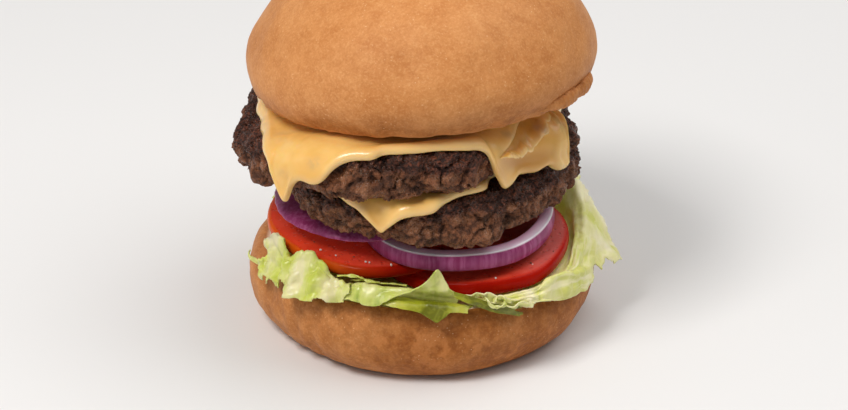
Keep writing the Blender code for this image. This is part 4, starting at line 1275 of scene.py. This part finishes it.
# %% A leaf from its ribs
def make_leaf(name, ribs, shape, seed):
    """A leaf as a fine sheet over its ribs, folded, crumpled, torn at the margin and given a thin wall."""
    leaf, along_fan, outward = grid_piece(name, shape["columns"], shape["rows"])
    angles = np.array([angle for angle, _ in ribs], float)
    table = np.array([points for _, points in ribs]) * MM
    share, out = (along_fan + 1.0) / 2.0, (outward + 1.0) / 2.0
    angle = angles[0] + share * (angles[-1] - angles[0])
    line = points_at(angle * DEGREE)
    nibbles = unit(waves(line, 0.003, seed + 2.0, 2) - 0.12)
    tear = shape["torn"] * (0.4 + 0.6 * waves(line, 0.009, seed) + 1.1 * nibbles)
    station = out * (1.0 - np.clip(tear, 0.0, 0.4)) * (table.shape[1] - 1)
    radius, height = along(through(angles, table, angle), station).T
    jag = waves(line, 0.0034, seed + 6.0) + 0.6 * nibbles
    flat = points_at(*spot(angle, radius), height + shape["jag"] * jag * bell(station - shape["crest"], 0.45))
    move_points(leaf, flat)
    swell, pleat = ruffles(flat, line, out, shape, seed)
    sink(leaf, -swell)
    note(leaf, out=out, turn=angle * DEGREE)
    tint = sum(more * bump(angle, at, wide) * bell(out - where, deep)
               for at, wide, where, deep, more in shape["tint"])
    note(leaf, lime=0.5 + 0.25 * pleat + tint)
    frayed = 1.0 + 0.14 * waves(flat, 0.0022, seed + 18.0)
    cut = np.zeros(len(out), bool)
    for at, wide, where, deep in shape["bites"]:
        cut |= ((angle - at) / wide) ** 2 + ((out - where) / deep) ** 2 < frayed
    remove_points(leaf, cut)
    apply(leaf, "SOLIDIFY", thickness=LEAF_WALL, offset=0.0)
    return leaf


# %% Leaf finishes
def lettuce_finish(name, streaky, white, pale, lime, ringed=False):
    """How strongly the ribs show, the colours from rib to blade, and ringed where ribs run along the rim."""
    lettuce = Finish(name + "_lettuce")
    out, turn, lime_share = lettuce.noted("out"), lettuce.noted("turn"), lettuce.noted("lime")
    crosswise, lengthwise = (0.15, 0.036) if ringed else (1.0, 0.009)
    along_leaf = lettuce.node("ShaderNodeCombineXYZ", None, {0: turn * crosswise, 1: out * lengthwise})
    streak, patch = lettuce.grain(0.0017, at=along_leaf), lettuce.grain(0.0085)
    share = lime_share + (patch - 0.5) * 1.3
    net = lettuce.spots(0.0042, "DISTANCE_TO_EDGE").between(0.09, 0.0)
    green = lettuce.coats(pale, (share.between(0.3, 0.75), lime), (share.between(0.32, -0.05), white),
                          (streak.between(0.48, 0.7) * streaky, white), (net * 0.18, white))
    bumps = lettuce.relief((patch, 0.001), (streak, 0.0003 * streaky), (lettuce.grain(0.0013, 2.0), 0.00006))
    lettuce.set(Base_Color=green, Normal=bumps, Roughness=0.23 + 0.2 * patch, Specular_IOR_Level=0.5)
    lettuce.glow(0.35, 0.0022, (0.8, 1.0, 0.35))
    return lettuce.material


pale_lettuce = lettuce_finish("pale", 0.45, (0.82, 0.77, 0.39), (0.67, 0.7, 0.21), (0.56, 0.63, 0.09))
# Its whites are lifted to full white: the right leaf's cream ribs, and painted light on the inner face, where
# the stack's shade falls.
ribbed_lettuce = lettuce_finish("ribbed", 0.7, (1.0, 0.93, 0.57), (0.82, 0.8, 0.33), (0.68, 0.7, 0.17), True)
green_lettuce = lettuce_finish("green", 0.4, (0.74, 0.75, 0.3), (0.54, 0.6, 0.13), (0.28, 0.38, 0.04))
# A darker copy of the lettuce: painted shade for the torn pieces at the front that lie in shade.
shaded_lettuce = lettuce_finish("dark", 0.2, (0.47, 0.46, 0.05), (0.28, 0.29, 0.012), (0.13, 0.132, 0.002))

# %% Leaves
# The grid, the point of each rib where jags stand, heights of jags, pleats, crumples and ridges, and the
# share that is torn off the margin. A tint is its angle, degrees wide, share of the way out, depth and how
# much greener, and a bite is the same without the last.
PLAIN_LEAF = dict(columns=200, rows=60, crest=3, jag=0.0004, fold=0.0006, crumple=0.001, ridge=0, torn=0.09,
                  tint=[], bites=[], look=pale_lettuce)
LEAF_SHAPES = {
    "leaf_left": dict(
        PLAIN_LEAF, columns=220, rows=80, jag=0.0013, fold=0.0008, crumple=0.0018, torn=0.03,
        tint=[(208, 5, 0.6, 0.16, -0.9), (217, 4, 0.68, 0.2, 0.6), (214, 3, 0.9, 0.1, 0.25),
              (225, 3.5, 0.86, 0.18, -0.5), (231, 3, 0.7, 0.2, 0.45), (240, 5, 0.85, 0.25, -0.5)],
        bites=[(198, 7, 0.74, 0.19), (202.5, 1.6, 1, 0.05), (209.5, 1.4, 1, 0.05), (212.5, 1.2, 1, 0.05),
               (218.5, 2.6, 1, 0.08), (236, 2.5, 1, 0.05), (246.6, 2.6, 1, 0.13), (246.8, 1.9, 0.6, 0.17)]),
    "leaf_front": dict(PLAIN_LEAF, fold=0.0003, crumple=0.0004, torn=0.05, look=green_lettuce,
                       tint=[(255, 12, 0.8, 9, -0.3), (274, 4, 0.8, 9, -0.2)]),
    "leaf_right": dict(
        PLAIN_LEAF, columns=340, rows=72, fold=0.0004, crumple=0.0007, torn=0.03, ridge=0.00025,
        look=ribbed_lettuce, tint=[(326, 12, 0.9, 0.3, 0.35), (368, 20, 0.8, 9, -0.3)],
        bites=[(341, 2.5, 1, 0.13), (346, 3, 1, 0.05), (361, 5, 1, 0.12), (370, 10, 1, 0.28),
               (384, 14, 1, 0.36)]),
    "leaf_back_right": dict(PLAIN_LEAF, columns=230, jag=0.001, fold=0.0012),
    "leaf_back_left": dict(PLAIN_LEAF, jag=0.001, fold=0.0012),
    "leaf_fold": dict(
        PLAIN_LEAF, columns=160, rows=40, crest=1, fold=0.0003, crumple=0.0003, look=shaded_lettuce,
        tint=[(262, 7, 0.8, 9, -0.45), (274, 4, 0.8, 9, 0.45), (282, 4, 0.8, 9, -0.3)],
        bites=[(287, 2.4, 1, 0.42), (287, 1.6, 0, 0.3)]),
    "leaf_blade": dict(
        PLAIN_LEAF, columns=120, rows=24, crest=1, fold=0.0002, crumple=0.0002, look=shaded_lettuce,
        tint=[(294, 12, 0.8, 9, 0.3)],
        bites=[(302.6, 2.6, 0.45, 0.14), (302.6, 1, 0.95, 0.12), (302.6, 0.9, 0.1, 0.12)]),
}
for number, (solid, ribs) in enumerate({**LEAF_RIBS, **BACK_LEAVES, **TORN_PIECES}.items()):
    shape = LEAF_SHAPES[solid]
    leaf = make_leaf(solid + "_lettuce", ribs, shape, 1.7 + number * 3.1)
    finish_piece(leaf, shape["look"], "lettuce", solid)

# %% [markdown]
# Shreds of the torn leaves stick out between the large pieces: cream curls at the front right and thin
# strings under the left tomato. Each is a narrow strip along a path, ruffled and twisted.

# %% Lettuce shreds
# Width in millimetres, share of green, and the path as (angle, radius, height in millimetres).
SHREDS = [
    (2.1, 0.25, [(284.5, 47, 28.4), (287.5, 47.4, 28.2), (290.2, 48, 28.3), (293.2, 49, 27.4),
                 (296.5, 49.8, 27), (299.4, 50.8, 25.8), (303, 51.2, 25.4), (308, 51.4, 24.8)]),
    (1.6, 0.35, [(291, 50, 28.3), (292.2, 51.6, 26.4), (294.6, 52, 25.6), (297, 51.8, 26.2),
                 (296.6, 51, 27.6), (294.4, 50.6, 28), (293.4, 51, 27)]),
    (2, 0.35, [(297, 51.9, 25.4), (299.5, 52.6, 24.6), (302, 52.4, 25), (305, 52.6, 23.8),
                 (307.5, 52.4, 23.6)]),
    (0.7, 0.95, [(239, 46.6, 31.6), (243, 45.6, 32), (247, 44.8, 31.8), (250.5, 45, 31),
                 (254, 43.6, 30.6)]),
    (0.6, 0.9, [(243, 44.8, 30.2), (248, 43.6, 30.4), (253, 42.8, 29.8), (259, 42.6, 30),
                 (264, 42, 29.4)]),
]
UP = np.array([0.0, 0.0, 1.0])


def make_shred(width, green, path, seed):
    shred, along_path, side = grid_piece("shred", 90, 8)
    station = (along_path + 1.0) / 2.0 * (len(path) - 1)
    angle, radius, height = through(range(len(path)), path, station).T
    outward = points_at(*spot(angle, 1.0))
    spine = outward * radius[:, None] * MM + UP * MM * height[:, None]
    line = points_at(station * 0.004)
    twist = (0.4 + 1.3 * waves(line, 0.009, seed, 2))[:, None]
    ragged = 1.0 + 0.6 * waves(line, 0.0032, seed + 3.0, 2)
    ruffle = 0.0005 * np.sin(station * 3.6 + 2.0 * waves(line, 0.01, seed + 5.0, 2)) * side
    taper = np.sqrt(np.clip(1.0 - along_path**2, 0.02, 1.0))
    half = side * width * MM / 2.0 * ragged * taper
    turned = outward * np.sin(twist) + UP * np.cos(twist)
    move_points(shred, spine + turned * half[:, None] + outward * ruffle[:, None])
    note(shred, out=0.8 + 0.1 * side, turn=angle * DEGREE)
    note(shred, lime=green + 0.3 * waves(line, 0.005, seed + 7.0, 2) - 0.3 * abs(side))
    apply(shred, "SOLIDIFY", thickness=LEAF_WALL, offset=0.0)
    return shred


shreds = [make_shred(*row, 2.0 + 4.0 * number) for number, row in enumerate(SHREDS)]
finish_piece(joined(shreds, "lettuce_shreds"), pale_lettuce, "lettuce")

# %% [markdown]
# ## Salt and pepper
# Coarse salt and ground pepper lie where the cook's hand dropped them, mostly on the tomato's rim. Each
# grain is a small faceted ball, squashed, turned by its own amount and roughened, and the grains of a kind
# are joined.

# %% Seasoning
# Places in millimetres.
SALT = [(-24.6, -33, 34.2), (-16, -36.4, 34.1), (-15, -36.9, 34.2), (-8.8, -38, 34), (20.8, -39, 30.3),
        (-29, -29.5, 34), (31.5, -32, 30.6)]
PEPPER = [(-19.5, -33.6, 34.1), (37.5, -25.5, 31.2), (31, -31.5, 30.8), (-31, -25, 34), (-6, -36.5, 34)]
GRAIN_SQUASH = Matrix.Diagonal((1.0, 0.8, 0.7, 1.0))


def scatter(name, seed, places, size, colour, dark, roughness):
    """One kind of grain at each place, each with its own turn and size, joined into one piece."""
    rng = random.Random(seed)
    grains = []
    for place in places:
        bpy.ops.mesh.primitive_ico_sphere_add(subdivisions=1, radius=size * rng.uniform(0.7, 1.15))
        grain = bpy.context.object
        angle = rng.uniform(0.0, math.tau)
        turn = Matrix.Rotation(angle, 4, Vector((rng.random(), rng.random(), 1.0)).normalized())
        grain.data.transform(Matrix.Translation(Vector(place) * MM) @ turn @ GRAIN_SQUASH)
        grains.append(grain)
    piece = joined(grains, name + "_grains")
    sink(piece, 0.15 * size * waves(points_of(piece), size, seed))
    look = Finish(name)
    look.set(Base_Color=look.coats(colour, (look.grain(0.0003), dark)), Roughness=roughness)
    dress(piece, look.material)


scatter("salt", 3, SALT, 0.00042, (0.9, 0.86, 0.82), (0.75, 0.7, 0.66), 0.3)
scatter("pepper", 8, PEPPER, 0.00034, (0.06, 0.03, 0.02), (0.18, 0.1, 0.05), 0.7)
